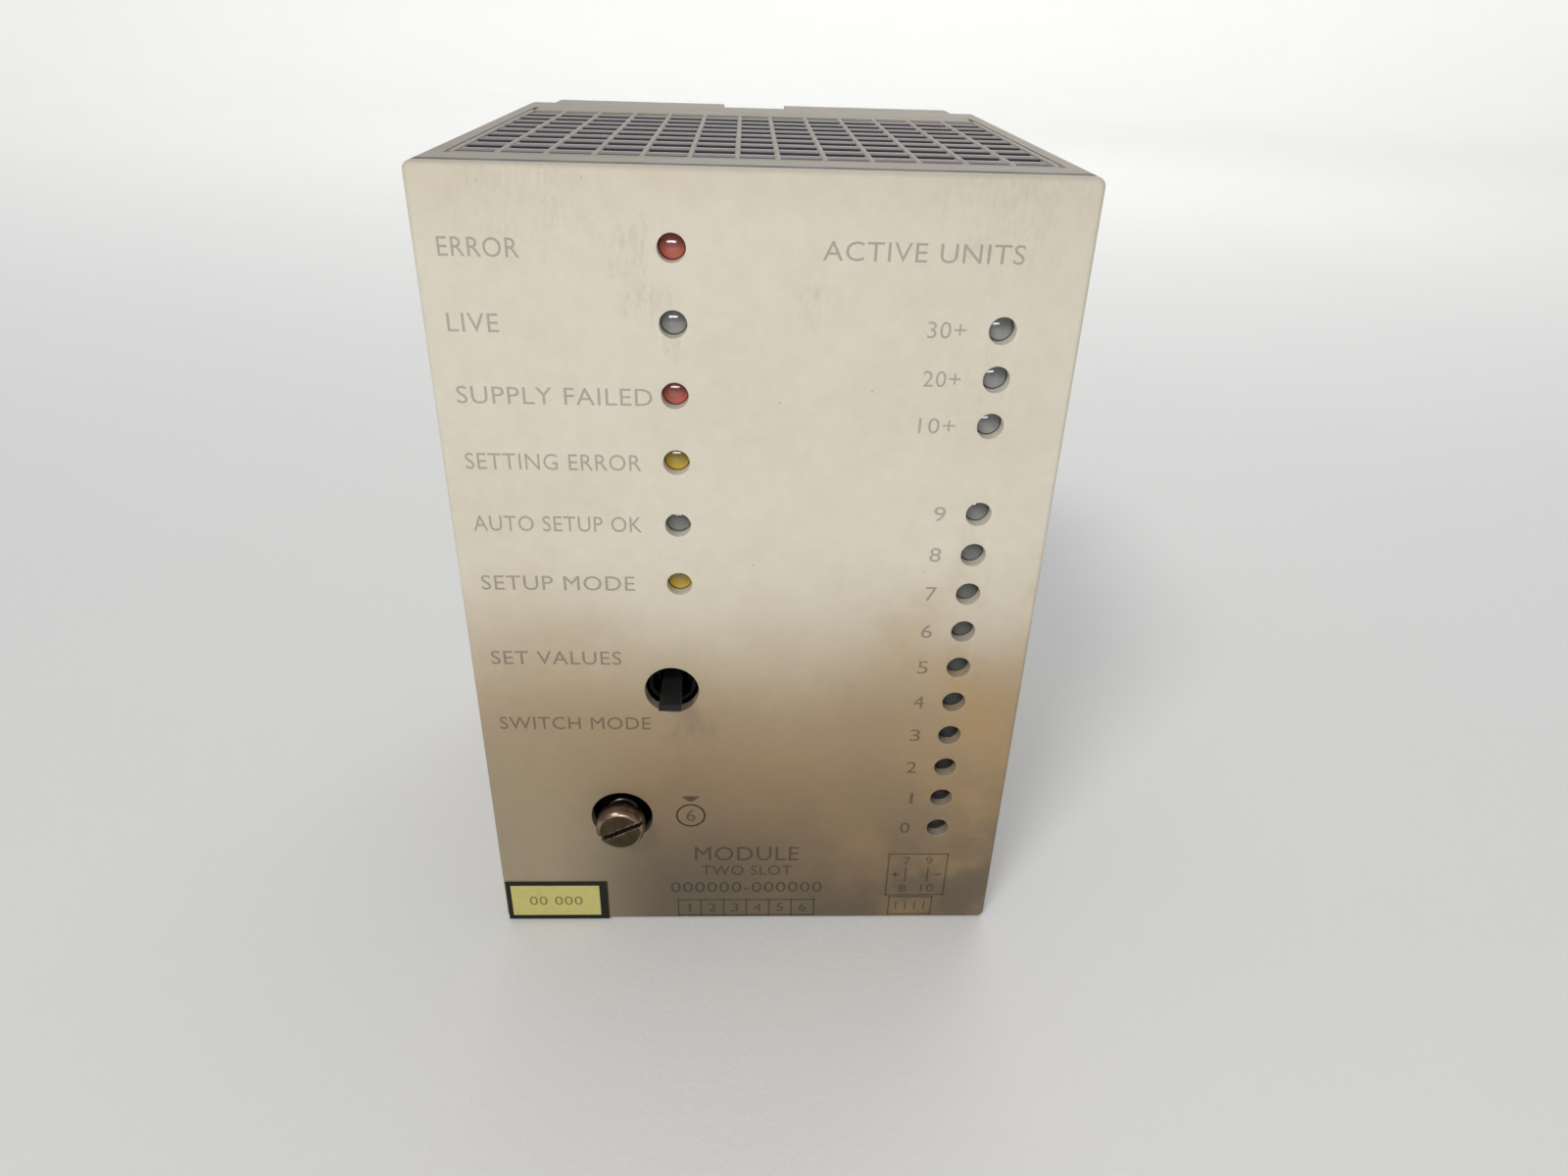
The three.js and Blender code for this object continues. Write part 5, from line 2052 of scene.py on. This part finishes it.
# The head's face: the plating's olive tone, darkened further by a painted dark reflection.
SCREW_FACE_SHADED = PlatedMetal(
    "screw_face_olive_shaded",
    (0.062, 0.048, 0.024),
    0.3,
    stain=(0.11, 0.075, 0.045),
    staining=0.6,
    patch=420.0,
)
RING = PlatedMetal("ring_steel", (0.16, 0.15, 0.13), 0.3, stain=(0.06, 0.05, 0.04), bare=(0.4, 0.38, 0.34))
GOLD = PlatedMetal("contact_gold_plate", (0.75, 0.52, 0.2), 0.25, stain=(0.35, 0.22, 0.1), staining=0.25)
ALUMINIUM = PlatedMetal("aluminium_plain", (0.62, 0.63, 0.64), 0.35, stain=(0.4, 0.4, 0.4), staining=0.3)

# Each dome's own colour here is its painted shade; lower_light is its painted lit lower half.
RED = LampResin("lamp_red", (0.16, 0.028, 0.027), 0.2, lower_light=(0.64, 0.17, 0.12))
YELLOW = LampResin("lamp_yellow", (0.18, 0.12, 0.012), 0.2, lower_light=(0.70, 0.49, 0.055))
CLEAR = LampResin("lamp_clear", (0.13, 0.135, 0.145), 0.15, lower_light=(0.40, 0.41, 0.41), foot_shade_share=0.08)

LAMINATE = CircuitLaminate("board_laminate", (0.015, 0.10, 0.035), 0.35)
COPPER = WoundWire("copper_winding", (0.45, 0.17, 0.06), 0.35)
LABEL_BORDER = LabelFilm("label_border", (0.009, 0.010, 0.006), 0.6, soil=(0.03, 0.03, 0.018))
LABEL_FIELD = LabelFilm("label_yellow_film", (0.46, 0.42, 0.15), 0.45)
LABEL_INK = LabelFilm("label_ink", (0.15, 0.15, 0.055), 0.6, soil=(0.3, 0.28, 0.1))
PAPER = StudioPaper("studio_paper", (0.78, 0.78, 0.77), 0.7)

LAMP_COLOURS = {
    "led_status_1": (RED, "led_red"),
    "led_status_3": (RED, "led_red"),
    "led_status_4": (YELLOW, "led_yellow"),
    "led_status_6": (YELLOW, "led_yellow"),
}


def shaded_aged_cover() -> ShadedAgedCover:
    """The cover's finish, with its smudges and the lever's painted shadow on the cover's front face."""
    front = box_of("front_cover")[0].y
    return ShadedAgedCover("cover_plastic_aged_shaded", (0.60, 0.555, 0.462), 0.5, front=front, smudges_and_shadow=SMUDGES_AND_SHADOW)


def shaded_slats() -> ShadedSlatPlastic:
    """The slats' finish, a darker painted-shade copy of the sleeve plastic, in step with the slats of the
    grilles.
    """
    start = box_of("top_vent_grille")[0].y + VentGrille.flange + VentGrille.rim + VentGrille.slot
    return ShadedSlatPlastic("slat_plastic_shaded", (0.23, 0.212, 0.218), 0.6, wear=0.0, dusting=0.0, start=start)


def main() -> None:
    """Builds the module and its studio."""
    logging.basicConfig(level=logging.INFO, format="%(name)s %(message)s")
    bench = Bench()
    cover = shaded_aged_cover()
    ink = PrintedInk("print_grey", (0.97, 0.98, 1.0), 0.6, ground=cover)
    lamps = LampRows(LAMP_COLOURS, CLEAR, GOLD, BLACK)
    FrontCover(cover).dress(bench, lamps.nodes())
    FrontPrint(ink, lines=(*LEGENDS, *count_lines(), *small_lines())).dress(bench)
    lamps.dress(bench)
    ToggleSwitch(BLACK, LEVER, STEEL).dress(bench)
    CaptiveScrew(STEEL, SCREW_FACE_SHADED, RING, BLACK).dress(bench)
    Case(SLEEVE, CREAM).dress(bench)
    VentGrille(SLEEVE, shaded_slats()).dress(bench)
    Electronics(LAMINATE, BLACK, GOLD, ALUMINIUM, CAN, FERRITE, COPPER).dress(bench)
    IdLabel(LABEL_BORDER, LABEL_FIELD, LABEL_INK).dress(bench)
    Studio(PAPER).build()
    log.info("%d pieces put down", len(bench.put_down))


if __name__ == "__main__":
    main()
